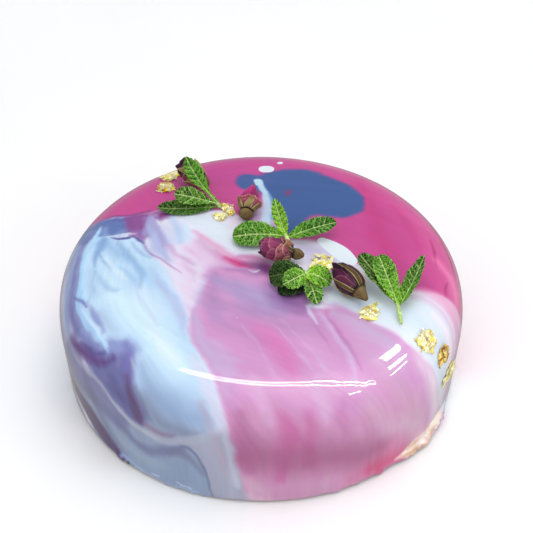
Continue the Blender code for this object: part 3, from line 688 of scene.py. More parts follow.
def paint_right_band(art):
    """The white band that runs under the right sprig and over the right shoulder, lighter as painted
    light where the toppings' shadows fall on it.
    """
    band = [(20, -34), (28, -26), (46, -20), (64, -25), (82, -27), (104, -32), (136, -44), (120, -62),
            (92, -62), (76, -56.5), (64, -54), (55, -48), (46, -42), (34, -36)]
    art.ribbon((248, 146, 192), [(78, -2, 2), (85, -12, 4), (88, -22, 5)], soft=4, strength=0.8)
    art.pool((224, 234, 248), band, soft=1.5, feather=0.8)
    art.ribbon((208, 160, 208), [(20, -27, 1.6), (26, -30, 5.4), (33, -35, 5), (40, -41.6, 2)],
               soft=2, strength=0.85, feather=1)
    art.ribbon((216, 232, 250), [(28, -30, 4), (44, -32, 8), (58, -38, 8), (68, -46, 5)],
               soft=3.5, strength=0.8, feather=1)
    # Painted light: a paler band laid where the toppings' shadows fall, to lift them.
    art.ribbon((236, 246, 255), [(22, -30, 3), (34, -29, 6), (46, -28, 6), (56, -33, 4)],
               soft=3, strength=0.8, feather=1)
    art.ribbon((226, 194, 222), [(62, -27, 2), (76, -30.5, 7), (90, -38, 10), (104, -52, 10)],
               soft=2.6, strength=0.85, feather=1.5)
    art.ribbon((250, 232, 244), [(72, -36, 1), (86, -44, 4), (98, -54, 5)],
               soft=2.4, strength=0.8, feather=1.5)
    art.ribbon((240, 170, 208), [(60, -23, 0.6), (72, -24.6, 4), (82, -27, 7), (92, -31.4, 10),
                                 (106, -41, 12), (116, -54, 12)], soft=2.4, strength=0.8)
    art.ribbon((240, 228, 244), [(60, -25, 0.4), (70, -28.4, 1), (80, -32.4, 1.2), (90, -38.4, 1.4)],
               soft=1.2, strength=0.7)


PALE_LINE = [(-86, -48, 0.8), (-78, -60, 1.6), (-71, -68, 1.8), (-66.4, -78, 2.4), (-62.4, -87, 3.2),
             (-57, -93.4, 4.2), (-47, -99, 4.4), (-36, -100.4, 4.6), (-24, -99, 4)]


def paint_left_wall(art):
    """Indigo, slate and grey-blue currents that turn round below the lobe."""
    art.pool((146, 160, 188), [(-50, -88), (-34, -98), (-30, -110), (-30, -160), (-90, -140), (-110, -80),
                               (-88, -76), (-72, -80)], soft=4, strength=1.0)
    art.pool((124, 124, 168), [(-94, -38), (-84, -46), (-77, -58), (-70, -68), (-64, -86), (-78, -90),
                               (-94, -72), (-112, -56), (-118, -44)], soft=3.5, strength=0.95, feather=3)
    art.pool((108, 110, 164), [(-77, -54), (-68, -57), (-61, -57), (-56, -58), (-52.4, -59), (-50.8, -64),
                               (-51, -70), (-52, -80), (-51, -88), (-55, -91), (-60, -90), (-66, -79),
                               (-72, -68)], soft=2.4, strength=0.97, feather=0.8)
    art.ribbon((140, 160, 208), [(-60, -54, 3), (-55, -55, 6), (-50, -58, 4)],
               soft=4, strength=0.8, feather=1)
    art.ribbon((122, 116, 188), [(-55, -54, 3), (-53.4, -62, 4), (-54, -71, 3.4)],
               soft=2.4, strength=0.75, feather=1.5)
    art.ribbon((150, 150, 204), [(-60, -51, 1.5), (-58, -57, 2.5), (-57.4, -63, 1)],
               soft=2.4, strength=0.5, feather=1.5)
    art.ribbon((92, 60, 128), [(-86, -40, 1.5), (-80, -47, 5.5), (-72, -55, 6), (-65, -59.4, 3),
                               (-60, -60, 1)], soft=2.4, strength=0.88, feather=1.5)
    art.ribbon((78, 72, 140), [(-76, -47, 1), (-70, -53.6, 2.4), (-63.6, -56.6, 1.6)],
               soft=1.4, strength=0.75)
    art.ribbon((90, 88, 142), [(-63, -66, 2), (-59.6, -76, 4), (-59, -84, 3)],
               soft=2.6, strength=0.6, feather=2)
    art.ribbon((102, 76, 116), [(-54.4, -68, 1.4), (-55, -76, 4), (-55.6, -85, 6.4), (-56, -88.6, 4)],
               soft=2.2, strength=0.88, feather=1.5)
    art.ribbon((140, 118, 168), [(-61, -70, 0.3), (-60, -77, 0.8), (-59.4, -84, 0.3)],
               soft=0.8, strength=0.5)
    art.ribbon((148, 118, 150), [(-53, -90.6, 2), (-47, -95, 2.8), (-39, -96.6, 1.4)],
               soft=1.8, strength=0.8)
    art.pool((142, 160, 190), [(-106, -58), (-98, -62), (-86, -74), (-78, -86), (-74, -96), (-64, -104),
                               (-50, -109), (-36, -110), (-31, -118), (-30, -150), (-70, -150),
                               (-110, -110)], soft=2.6, strength=0.97, feather=1.5)
    art.ribbon((168, 178, 198), [(-88, -78, 2), (-82, -92, 3.4), (-72, -105, 4), (-56, -114, 3)],
               soft=3, strength=0.45, feather=2)
    art.pool((166, 166, 188), [(-44, -100), (-20, -97), (-13, -100), (-12, -120), (-8, -150), (-29, -150),
                               (-30.4, -118), (-33, -104)], soft=2.4, strength=0.9, feather=1.5)
    art.ribbon((190, 168, 190), [(-21, -97, 2), (-20, -108, 3.4), (-18, -122, 2)],
               soft=2.4, strength=0.65, feather=2)
    art.ribbon((196, 200, 218), [(-15.4, -96, 2), (-15, -110, 2.6), (-14, -128, 3)],
               soft=2, strength=0.7, feather=2)
    art.ribbon((112, 118, 158), [(-96, -56, 2), (-86, -68, 6), (-78, -77, 6), (-72.4, -88, 5),
                                 (-68, -98, 4.4), (-58, -104.4, 5), (-46, -105, 5), (-38, -105, 3)],
               soft=2.4, strength=0.8, feather=1)
    art.ribbon((116, 118, 146), [(-48, -106.6, 2), (-40, -107.6, 4), (-35, -112, 3), (-33, -120, 1.6)],
               soft=2, strength=0.6)
    art.ribbon((100, 108, 142), [(-38, -103.8, 0.6), (-34, -105, 1.6), (-31.6, -110, 1.4),
                                 (-30.6, -122, 1.4), (-30, -138, 1.0)], soft=0.9, strength=0.75)
    art.ribbon((172, 178, 198), PALE_LINE, soft=1.3, strength=0.85)
    art.ribbon((196, 202, 214), [(-68, -75, 0.5), (-65.4, -82, 1.0), (-62, -88.6, 1.2), (-57, -94, 1.0),
                                 (-49, -98.6, 0.5)], soft=0.9, strength=0.6)
    art.ribbon((96, 92, 140), [(-126, -24, 1), (-126, -46, 5), (-120, -70, 6), (-108, -94, 6),
                               (-101, -110, 4)], soft=2.4, strength=0.85, feather=1)
    art.ribbon((62, 16, 88), [(-117, -36, 0.8), (-111, -54, 8), (-103, -74, 14), (-96, -91, 12),
                              (-91, -104, 6)], soft=2.4, strength=0.9, feather=1)
    art.ribbon((172, 186, 222), [(-133, -42, 1), (-133, -60, 3), (-126, -84, 3.4), (-114, -102, 2)],
               soft=1.8, strength=0.8, feather=1)
    art.ribbon((90, 92, 132), [(-84, -62, 4), (-87, -78, 7), (-88, -93, 7), (-88, -103, 6)],
               soft=6, strength=0.55, feather=2)
    art.ribbon((88, 84, 132), [(-66, -69, 1.5), (-60, -77, 2.5), (-57, -84, 1)],
               soft=2.4, strength=0.6, feather=1)


def paint_lip(art):
    """Paler and darker spots where the glaze gathered along its lower edge at the left."""
    art.ribbon((160, 184, 220), [(-85, -104, 1), (-77, -112, 1.8), (-66, -120, 2), (-54, -126.4, 2),
                                 (-40, -131, 1.4)], soft=1, strength=0.8)
    art.ribbon((150, 174, 222), [(-91, -101.6, 0.8), (-86.6, -103, 2.4), (-83.6, -106.4, 1.4)],
               soft=0.8, strength=0.8)
    art.ribbon((58, 36, 72), [(-88.6, -107, 2.0), (-86, -107.6, 2.4)], soft=0.9, strength=0.9)
    art.ribbon((222, 230, 242), [(-68.4, -115.6, 0.5), (-66, -117, 0.9), (-63, -118.4, 0.4)],
               soft=0.5, strength=0.8)
    art.ribbon((222, 230, 242), [(-52, -124, 0.4), (-48, -126.6, 0.8), (-43, -127.6, 0.4)],
               soft=0.5, strength=0.8)


def paint_drops(art):
    """The slate pool near the back and the pale drop that ran beside it."""
    pool = [(5, 63.5), (14, 64.5), (26, 62), (38, 54), (46, 45), (48, 36), (43, 28), (34, 26), (23, 27),
            (15, 14), (10, 14), (8, 30), (2, 38), (-3, 46), (-10, 49), (-12, 55), (-8, 60), (-1, 60)]
    art.pool(SLATE, pool, soft=1.5, strength=0.96, feather=0.5)
    art.ribbon((92, 92, 160), [(-8, 55, 4), (-2, 57, 5), (4, 56, 4)], soft=4, strength=0.4)
    art.ribbon((140, 50, 112), [(12.2, 44.4, 2.8), (12.9, 46.2, 2.8)], soft=1.3, strength=0.85)
    art.ribbon((198, 184, 222), [(-2, 36, 4), (-1, 28, 8), (2, 20, 12)], soft=1.6, strength=0.9)
    art.ribbon((124, 172, 216), [(0.4, 49, 2.8), (3, 41, 3), (4.8, 34, 3.4), (5.4, 26, 4.4)],
               soft=1.2, strength=0.9)
    art.ribbon((196, 220, 242), [(-0.6, 51, 3), (1, 41.3, 3.4), (2.2, 34, 3.6), (2.2, 27, 4), (2, 21, 5)],
               soft=0.9, strength=0.95)
    art.ribbon((190, 222, 240), [(-1.6, 54.6, 4.2), (-1.2, 52.6, 4.2)], soft=0.5)


def paint_far_side(art):
    """The side away from the picture goes on with the same colours."""
    art.ribbon(DEEP_MAGENTA, [(-60, 80, 6), (-20, 98, 12), (30, 96, 12), (70, 84, 6)],
               soft=8, strength=0.5, feather=2)
    art.ribbon((224, 206, 234), [(-74, 66, 1), (-66, 82, 5), (-44, 98, 9), (-14, 112, 10), (12, 124, 8),
                                 (30, 136, 5)], soft=2, strength=0.85, feather=1)
    art.ribbon((206, 150, 200), [(-70, 78, 1), (-50, 100, 3), (-20, 117, 4), (4, 131, 3)],
               soft=2, strength=0.7, feather=1)
    art.ribbon((250, 246, 252), [(-68, 76, 0.4), (-46, 94, 1.6), (-16, 108, 1.6), (10, 119, 0.6)],
               soft=0.8, strength=0.8)
    art.ribbon(SLATE, [(26, 92, 2), (42, 102, 8), (40, 118, 10), (24, 132, 7)],
               soft=2, strength=0.9, feather=1)
    art.ribbon((150, 184, 226), [(34, 96, 0.4), (47, 106, 1.6), (46, 120, 1.6), (34, 132, 0.6)],
               soft=0.9, strength=0.7)
    art.ribbon(ICE_BLUE, [(72, 68, 1), (88, 76, 6), (104, 68, 7), (118, 50, 5), (126, 30, 2)],
               soft=2, strength=0.85, feather=1)
    art.ribbon(PLUM, [(-92, 50, 1), (-98, 72, 5), (-90, 96, 6), (-76, 116, 3)],
               soft=2.4, strength=0.8, feather=1)


def marbled(x, y):
    """The marbling at places on the unrolled glaze: its screen colours and its relief in mm."""
    art = Marbling(x, y, MAGENTA)
    paint_back(art)
    paint_far_side(art)
    paint_veil(art)
    paint_left_patch(art)
    paint_lobe(art)
    paint_middle(art)
    paint_front(art)
    paint_front_wall(art)
    paint_right_band(art)
    paint_left_wall(art)
    paint_ridge(art)
    paint_lip(art)
    paint_drops(art)
    art.brush(BRUSH_STRENGTH)
    art.colour = np.clip(art.colour, 0, 255)
    return art


# White drops with a crisp edge.

DROP_WHITE = (228, 238, 247)
WHITE_DROPS = [
    [(1.5, 64.7, 5.6), (3.4, 64.7, 5.6)],
    [(8.6, 70.2, 2.1), (9.4, 70.4, 2.3)],
    [(27.2, 8.4, 4.6), (31.0, 4.6, 7.4), (35.0, 0.2, 8.4), (38.4, -5.0, 7.0)],
]


def drop_depth(x, y):
    """Distance inside the nearest white drop; it is negative outside."""
    return np.max([ribbon_depth(x, y, path) for path in WHITE_DROPS], axis=0)


# The glaze.


def crown(radius):
    """How far the top stands above its own rim at this distance from the axis."""
    return CROWN_RISE * np.maximum(0.0, 1 - (radius / CROWN_RADIUS) ** 2)


def glaze_outline(top_rings, shoulder_rings, wall_rings):
    """Radii and heights from the middle of the top down to just above the lip."""
    top_radius = FLAT_RADIUS * np.linspace(0, 1, top_rings, endpoint=False)
    top_height = CAKE_HEIGHT + crown(top_radius)
    turn = np.linspace(0, 1, shoulder_rings) * math.pi / 2
    rim_radius = FLAT_RADIUS + SHOULDER_WIDTH * np.sin(turn) ** (2 / SHOULDER_POWER)
    drop = np.maximum(np.cos(turn), 0) ** (2 / SHOULDER_POWER)
    rim_height = WALL_HEIGHT + SHOULDER_DROP * drop + crown(rim_radius)
    lowest = LIP_LEVEL + 2 * LIP_ROUNDING
    wall_height = np.linspace(WALL_HEIGHT, lowest, wall_rings + 1)[1:]
    wall_radius = SKIRT_RADIUS + (CAKE_RADIUS - SKIRT_RADIUS) * wall_height / WALL_HEIGHT
    radii = np.concatenate([top_radius, rim_radius, wall_radius])
    heights = np.concatenate([top_height, rim_height, wall_height])
    return radii, heights


def arc_lengths(radii, heights):
    """How far each point of an outline is from its first, along it."""
    return np.concatenate([[0], np.cumsum(np.hypot(np.diff(radii), np.diff(heights)))])


# A finely cut outline, to look places up on.
FINE_RADII, FINE_HEIGHTS = glaze_outline(120, 160, 80)
FINE_ARCS = arc_lengths(FINE_RADII, FINE_HEIGHTS)


def waves(angle, terms):
    """A smooth closed ripple round the cake, from a few (count, size, start) terms."""
    return sum(size * np.sin(count * angle + start) for count, size, start in terms)


def lip_offset(angle):
    """How far the uneven lip hangs below its usual level, as the solid has it."""
    return LIP_WAVE * waves(angle, [(3, 0.5, 0.4), (7, 0.35, 1.9), (13, 0.3, 0.2), (29, 0.2, 2.7)])


def wall_swell(angle):
    """How far the wall stands out beyond a true circle, as the solid has it."""
    return WALL_WAVE * waves(angle, [(2, 0.6, 2.9), (5, 0.3, 1.0), (9, 0.15, 0.3)])


# Below the lip the glaze turns in under the cake, to this radius and level. On the unrolled
# glaze the rings of the lip are this far apart.
TUCK_RADIUS = BISCUIT_RADIUS + 0.6
TUCK_LEVEL = 5.3
LIP_STEP = 0.35


def glaze_surface():
    """(radius, height, arc, turn) of the glaze's points, ring by ring from the top down."""
    radii, heights = glaze_outline(TOP_RINGS, SHOULDER_RINGS, WALL_RINGS)
    arcs = arc_lengths(radii, heights)
    curl = np.linspace(0, 1, LIP_RINGS + 1)[1:] * math.pi
    lip_radius = SKIRT_RADIUS - LIP_ROUNDING + LIP_ROUNDING * np.cos(curl)
    lip_height = LIP_LEVEL + LIP_ROUNDING - LIP_ROUNDING * np.sin(curl)
    radii = np.concatenate([radii[1:], lip_radius, [TUCK_RADIUS]])
    heights = np.concatenate([heights[1:], lip_height, [TUCK_LEVEL]])
    arcs = np.concatenate([arcs[1:], arcs[-1] + LIP_STEP * np.arange(1, LIP_RINGS + 2)])
    angle = np.linspace(0, math.tau, GLAZE_SEGMENTS, endpoint=False)
    radius, turn = np.meshgrid(radii, angle, indexing="ij")
    height, _ = np.meshgrid(heights, angle, indexing="ij")
    arc, _ = np.meshgrid(arcs, angle, indexing="ij")
    return radius, height, arc, turn


# Across the flow, a degree of turn counts as one unit.
FLOW_SPREAD = 57.3

# How high the swells stand on the shoulder and all over. On the shoulder they begin and end at
# these distances along the glaze, each over a span of its own.
SHOULDER_SWELL = 0.13
EVEN_SWELL = 0.05
SWELL_START = 58
SWELL_START_SPAN = 12
SWELL_END = 104
SWELL_END_SPAN = 18


def outward_slopes(radii, heights):
    """Sideways and upward parts of the glaze's outward direction, ring by ring."""
    along_r, along_z = np.gradient(radii), np.gradient(heights)
    length = np.hypot(along_r, along_z) + 1e-9
    return -along_z / length, along_r / length


def glaze_ripples(x, y, arc):
    """Slow swells that the flow left, stronger towards the right where the glaze ran thick."""
    begun = smooth((arc - SWELL_START) / SWELL_START_SPAN)
    on_shoulder = begun * (1 - smooth((arc - SWELL_END) / SWELL_END_SPAN))
    side = 0.15 + 0.85 * smooth((x - 6) / 14)
    front = 0.12 + 0.88 * smooth((-y - 62) / 8)
    swell = SHOULDER_SWELL * clouds(x * 1.3, y * 0.5, 9, 61) * side * front
    return on_shoulder * swell + EVEN_SWELL * clouds(x, y, 40, 63)


def ring_normals(points):
    """Outward directions of a closed ring grid of points."""
    around = np.roll(points, -1, axis=1) - np.roll(points, 1, axis=1)
    down = np.gradient(points, axis=0)
    normals = np.cross(down, around)
    return normals / (np.linalg.norm(normals, axis=2, keepdims=True) + 1e-12)


def ring_faces(rings, segments):
    """Four-cornered faces between closed rings of points."""
    ring, step = np.meshgrid(np.arange(rings - 1), np.arange(segments), indexing="ij")
    near, far, beside = ring * segments, (ring + 1) * segments, (step + 1) % segments
    corners = np.stack([near + step, far + step, far + beside, near + beside], axis=-1)
    return [tuple(face) for face in corners.reshape(-1, 4).tolist()]


def glaze_piece(name, surface, looks, first, last, middle, material):
    """One object from rings first to last of the glaze; middle closes the hole at the axis."""
    points, normals = surface
    segments = points.shape[1]
    shown = {key: value[first:last].reshape(-1, *value.shape[2:]) for key, value in looks.items()}
    piece_points = points[first:last].reshape(-1, 3)
    piece_normals = normals[first:last].reshape(-1, 3)
    faces = ring_faces(last - first, segments)
    if middle is not None:
        hub = len(piece_points)
        faces += [(hub, j, (j + 1) % segments) for j in range(segments)]
        piece_points = np.concatenate([piece_points, [[0, 0, TOP_LEVEL]]])
        piece_normals = np.concatenate([piece_normals, [[0, 0, 1]]])
        shown = {key: np.concatenate([value, [middle[key]]]) for key, value in shown.items()}
    obj = mesh_object(name, piece_points, faces, material)
    obj.data.normals_split_custom_set_from_vertices(piece_normals.tolist())
    store_colour(obj, "marble", shown["marble"])
    store_vector(obj, "flow", shown["flow"])
    store_number(obj, "drop", shown["drop"])
    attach(obj, "root")
    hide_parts("glazed_cake")


def flow_vectors(x, y):
    """Places for streaks that are drawn out along the flow: across it in x and y, along it in z."""
    turn, run = flow_lines(x, y)
    angle = turn * math.tau
    return np.stack([FLOW_SPREAD * np.cos(angle), FLOW_SPREAD * np.sin(angle), run], axis=-1)


# Below this level the glaze hangs in waves, and the middle of the top is far from any drop.
HANG_LEVEL = 5
NO_DROP = -9.0


def glaze(material):
    """The glaze in two objects, the top and the side, that meet in the same ring of points."""
    radius, height, arc, turn = glaze_surface()
    x, y = arc * np.cos(turn), arc * np.sin(turn)
    art = marbled(x.ravel(), y.ravel())
    out, up = outward_slopes(radius[:, 0], height[:, 0])
    lift = art.relief.reshape(radius.shape) + glaze_ripples(x, y, arc)
    rise = np.clip((TOP_LEVEL - height) / SHOULDER_DROP, 0, 1)
    swell = np.where(radius > FLAT_RADIUS, wall_swell(turn) * rise, 0)
    low = (height < HANG_LEVEL) | (radius > SKIRT_RADIUS - LIP_ROUNDING)
    hang = np.where(low, lip_offset(turn) * np.maximum(0, 1 - height / WAVE_ZONE) ** 2, 0)
    bulge, drip = lip_beads(turn, arc)
    full = radius + swell + lift * out[:, None] + bulge + torn_skirt(turn, arc) - SLIMMER
    level = height - hang + lift * up[:, None] - drip
    points = np.stack([full * np.cos(turn), full * np.sin(turn), level], axis=-1)
    surface = points, ring_normals(points)
    looks = {
        "marble": art.colour.reshape(*x.shape, 3),
        "flow": flow_vectors(x, y),
        "drop": drop_depth(x, y),
    }
    centre = np.zeros(1)
    middle = {
        "marble": marbled(centre, centre).colour[0],
        "flow": flow_vectors(centre, centre)[0],
        "drop": NO_DROP,
    }
    glaze_piece("glaze_top", surface, looks, 0, TOP_RINGS, middle, material)
    glaze_piece("glaze_side", surface, looks, TOP_RINGS - 1, len(radius), None, material)


# The skirt: the middle of the side where the lip spread, half its angle, the angle in which it
# ends, and how far out it goes.
SKIRT_MIDDLE = math.radians(-37)
SKIRT_HALF = math.radians(15)
SKIRT_END = 0.14
SKIRT_REACH = 3.2

# How far up from the end of the glaze the skirt and the beads begin, and how softly.
SKIRT_ZONE = 6.5
BEAD_ZONE = 7.5
ZONE_FADE = 4


def torn_skirt(turn, arc):
    """How far the lip spread outwards on one side, with a ragged edge."""
    away = np.abs((turn - SKIRT_MIDDLE + math.pi) % math.tau - math.pi)
    here = smooth((SKIRT_HALF - away) / SKIRT_END)
    ragged = 0.85 + 0.3 * clouds(turn * 90, arc, 4, 71) + 0.35 * clouds(turn * 90, arc * 2, 1.4, 72)
    return SKIRT_REACH * here * ragged * smooth((arc - arc.max() + SKIRT_ZONE) / ZONE_FADE)


BEAD_COUNT = 34
BEAD_SEED = 5
BEAD_ANGLES = (0.008, 0.022)
BEAD_SIZES = (0.2, 1.0)
BEAD_BULGE = 0.35
BEAD_DRIP = 0.8
LONGEST_DRIP = 1.0


def lip_beads(turn, arc):
    """(bulge, drip): how far small beads of set glaze stand out and hang down along the lip."""
    rng = np.random.default_rng(BEAD_SEED)
    bulge, drip = np.zeros(turn.shape), np.zeros(turn.shape)
    low = smooth((arc - arc.max() + BEAD_ZONE) / ZONE_FADE)
    for _ in range(BEAD_COUNT):
        place, width = rng.uniform(0, math.tau), rng.uniform(*BEAD_ANGLES)
        size = rng.uniform(*BEAD_SIZES)
        away = (turn - place + math.pi) % math.tau - math.pi
        bump = np.exp(-((away / width) ** 2)) * low * size
        bulge += BEAD_BULGE * bump
        drip += BEAD_DRIP * bump
    return bulge, np.minimum(drip, LONGEST_DRIP)


# Materials.

BUBBLE_WHITE = (250, 246, 252)
CRUMB_DARK = (96, 50, 26)
CRUMB_BROWN = (150, 92, 48)
CRUMB_PALE = (186, 134, 82)
PORE_SHADE_BROWN = (44, 20, 12)
FURROW_SHADE_GREEN = (6, 44, 4)
NET_GREEN = (180, 232, 96)
RIB_GREEN = (216, 244, 156)
DRY_PATCH = (214, 160, 128)
FOIL_PALE = (255, 255, 210)
FOIL_YELLOW = (252, 240, 110)
FOIL_AMBER = (240, 196, 24)
FOIL_TAN = (232, 176, 24)
FOIL_BROWN_SHADE = (140, 86, 10)


class NodeTree:
    """A material's node tree, with short ways to add nodes and links."""

    def __init__(self, name):
        self.material = bpy.data.materials.new(name)
        self.material.use_nodes = True
        self.nodes = self.material.node_tree.nodes
        self.links = self.material.node_tree.links
        self.shader = self.nodes["Principled BSDF"]

    def add(self, kind, **settings):
        """A node of this kind with these settings."""
        node = self.nodes.new("ShaderNode" + kind)
        for key, value in settings.items():
            setattr(node, key, value)
        return node

    def join(self, source, target):
        """Link a node's output to another's input."""
        self.links.new(source, target)

    def attribute(self, name):
        """What a mesh stores under this name."""
        node = self.add("Attribute")
        node.attribute_name = name
        return node

    def place(self, scale=(1, 1, 1), source=None):
        """Where a point is in the object, stretched by scale, for a texture's vector."""
        mapping = self.add("Mapping")
        mapping.inputs["Scale"].default_value = scale
        if source is None:
            source = self.add("TexCoord").outputs["Object"]
        self.join(source, mapping.inputs["Vector"])
        return mapping.outputs["Vector"]

    def noise(self, vector, scale, detail=3.0, roughness=0.5):
        """Cloudy noise round 0.5."""
        node = self.add("TexNoise")
        node.inputs["Scale"].default_value = scale
        node.inputs["Detail"].default_value = detail
        node.inputs["Roughness"].default_value = roughness
        self.join(vector, node.inputs["Vector"])
        return node.outputs["Fac"]

    def cells(self, vector, scale, feature="F1"):
        """A net of cells; the outputs give each one a colour and the distances in it."""
        node = self.add("TexVoronoi", feature=feature)
        node.inputs["Scale"].default_value = scale
        self.join(vector, node.inputs["Vector"])
        return node

    def remap(self, value, low, high, to_low=0.0, to_high=1.0, kind="SMOOTHSTEP"):
        """A value taken from the span low to high to the span to_low to to_high."""
        node = self.add("MapRange", interpolation_type=kind)
        self.join(value, node.inputs["Value"])
        span = {"From Min": low, "From Max": high, "To Min": to_low, "To Max": to_high}
        for key, number in span.items():
            node.inputs[key].default_value = number
        return node.outputs["Result"]

    def math(self, operation, first, second):
        """A sum or the like; each part may be a socket or a number."""
        node = self.add("Math", operation=operation)
        for socket, value in zip(node.inputs, (first, second)):
            if isinstance(value, (int, float)):
                socket.default_value = value
            else:
                self.join(value, socket)
        return node.outputs[0]

    def mix(self, share, first, second, blend="MIX"):
        """Colours mixed by share; each may be a socket, or a colour as seen on a screen."""
        node = self.add("Mix", data_type="RGBA", blend_type=blend)
        if isinstance(share, (int, float)):
            node.inputs["Factor"].default_value = share
        else:
            self.join(share, node.inputs["Factor"])
        for socket, value in ((node.inputs[6], first), (node.inputs[7], second)):
            if isinstance(value, tuple):
                socket.default_value = shader_colour(value)
            else:
                self.join(value, socket)
        return node.outputs[2]

    def grey(self, value):
        """A number as a grey colour."""
        node = self.add("CombineColor")
        for socket in node.inputs:
            self.join(value, socket)
        return node.outputs[0]

    def bump(self, height, distance, strength=1.0):
        """Fine relief: where height is 1 it stands this distance high, in mm."""
        node = self.add("Bump")
        node.inputs["Distance"].default_value = distance * MM
        node.inputs["Strength"].default_value = strength
        self.join(height, node.inputs["Height"])
        return node.outputs["Normal"]

    def set(self, **values):
        """Fixed values on the shader's own sockets; underscores stand for spaces."""
        for key, value in values.items():
            self.shader.inputs[key.replace("_", " ")].default_value = value

    def finish(self, colour, normal=None):
        """The material, with its colour and its fine relief linked to the shader."""
        self.join(colour, self.shader.inputs["Base Color"])
        if normal is not None:
            self.join(normal, self.shader.inputs["Normal"])
        return self.material


def glaze_material():
    """Marbled colours with finer streaks along the flow, under a mirror-smooth clear coat."""
    tree = NodeTree("mirror_glaze_marbled")
    flow = tree.attribute("flow").outputs["Vector"]
    fine = tree.noise(tree.place((5.0, 5.0, 0.10), flow), 1.0, 4.0, 0.6)
    shade = tree.grey(tree.remap(fine, 0.3, 0.7, 0.955, 1.03, "LINEAR"))
    streaked = tree.mix(1.0, tree.attribute("marble").outputs["Color"], shade, "MULTIPLY")
    edge = tree.remap(tree.attribute("drop").outputs["Fac"], -0.12, 0.14)
    dropped = tree.mix(edge, streaked, DROP_WHITE)
    bubbles = tree.cells(tree.place(), 210.0)
    draw = tree.math("FRACT", tree.math("MULTIPLY", bubbles.outputs["Color"], 7.3), 0)
    rare = tree.math("GREATER_THAN", draw, 0.93)
    speck = tree.math("MULTIPLY", tree.remap(bubbles.outputs["Distance"], 0.07, 0.035), rare)
    colour = tree.mix(tree.math("MULTIPLY", speck, 0.35), dropped, BUBBLE_WHITE)
    tree.set(Roughness=0.32, IOR=1.42, Specular_IOR_Level=0.2)
    tree.set(Coat_Weight=1.0, Coat_Roughness=0.008, Coat_IOR=1.45)
    tree.set(Subsurface_Weight=0.12, Subsurface_Radius=(0.0022, 0.0014, 0.0016), Subsurface_Scale=1.0)
    normal = tree.bump(speck, 0.05, 1.0)
    return tree.finish(colour, normal=normal)


def biscuit_material():
    """Baked crumb: brown, pitted and rough, with painted shade in its pores."""
    tree = NodeTree("biscuit_crumb")
    place = tree.place()
    crumb = tree.noise(place, 900.0, 6.0, 0.7)
    patches = tree.noise(place, 160.0, 3.0)
    pores = tree.cells(place, 700.0).outputs["Distance"]
    toast = tree.mix(tree.remap(patches, 0.35, 0.65), CRUMB_DARK, CRUMB_BROWN)
    grain = tree.mix(tree.remap(crumb, 0.35, 0.7), toast, CRUMB_PALE)
    # Painted shade in the pores.
    colour = tree.mix(tree.remap(pores, 0.1, 0.35, 0.75, 0.0), grain, PORE_SHADE_BROWN)
    height = tree.math("ADD", tree.math("MULTIPLY", crumb, 0.7), tree.math("MULTIPLY", pores, 0.6))
    normal = tree.bump(height, 0.6, 0.9)
    tree.set(Roughness=0.85)
    return tree.finish(colour, normal=normal)


def leaf_material():
    """Fresh mint: pale veins and a net of cushions, with painted shade in the furrows between them."""
    tree = NodeTree("mint_leaf")
    place = tree.place()
    blade = tree.attribute("blade").outputs["Vector"]
    net = tree.cells(blade, 1.0, "DISTANCE_TO_EDGE").outputs["Distance"]
    mottle = tree.noise(place, 900.0, 4.0, 0.6)
    shade = tree.grey(tree.remap(mottle, 0.3, 0.7, 0.7, 1.35, "LINEAR"))
    base = tree.mix(1.0, tree.attribute("tint").outputs["Color"], shade, "MULTIPLY")
    # Painted shade in the furrows between the cushions.
    furrow_shade = tree.remap(net, 0.1, 0.36, 0.1, 0.5)
    furrow_shaded = tree.mix(furrow_shade, base, FURROW_SHADE_GREEN)
    pale = tree.attribute("pale").outputs["Fac"]
    line = tree.math("MULTIPLY", tree.remap(net, 0.02, 0.12, 0.5, 0.0), pale)
    netted = tree.mix(line, furrow_shaded, NET_GREEN)
    vein = tree.attribute("vein").outputs["Fac"]
    rib = tree.math("MULTIPLY", tree.remap(vein, 0.3, 0.9, 0.0, 0.95), pale)
    colour = tree.mix(rib, netted, RIB_GREEN)
    height = tree.math("ADD", tree.remap(net, 0.0, 0.4), tree.math("MULTIPLY", mottle, 0.5))
    normal = tree.bump(height, 0.5, 1.0)
    tree.set(Roughness=0.34, Specular_IOR_Level=0.2)
    tree.set(Subsurface_Weight=0.1, Subsurface_Radius=(0.0005, 0.0011, 0.0003), Subsurface_Scale=1.0)
    return tree.finish(colour, normal=normal)


def rose_material():
    """Dried petals, sepals and hips: colours by place, fine wrinkles with painted shade in their hollows
    and painted light on their crests, and papery gloss.
    """
    tree = NodeTree("dried_rosebud")
    grain = tree.attribute("grain").outputs["Vector"]
    wrinkle = tree.noise(tree.place((0.22, 1.0, 1.0), grain), 2.2, 5.0, 0.65)
    blotch = tree.noise(tree.place(), 380.0, 4.0, 0.6)
    # Painted shade and light: the colour follows the wrinkles' relief.
    shade = tree.grey(tree.remap(wrinkle, 0.3, 0.7, 0.4, 1.5, "LINEAR"))
    base = tree.mix(1.0, tree.attribute("tint").outputs["Color"], shade, "MULTIPLY")
    colour = tree.mix(tree.remap(blotch, 0.6, 0.74, 0.0, 0.22), base, DRY_PATCH)
    normal = tree.bump(tree.math("ADD", wrinkle, tree.math("MULTIPLY", blotch, 0.3)), 0.8, 1.2)
    tree.set(Roughness=0.55, Specular_IOR_Level=0.22)
    return tree.finish(colour, normal=normal)


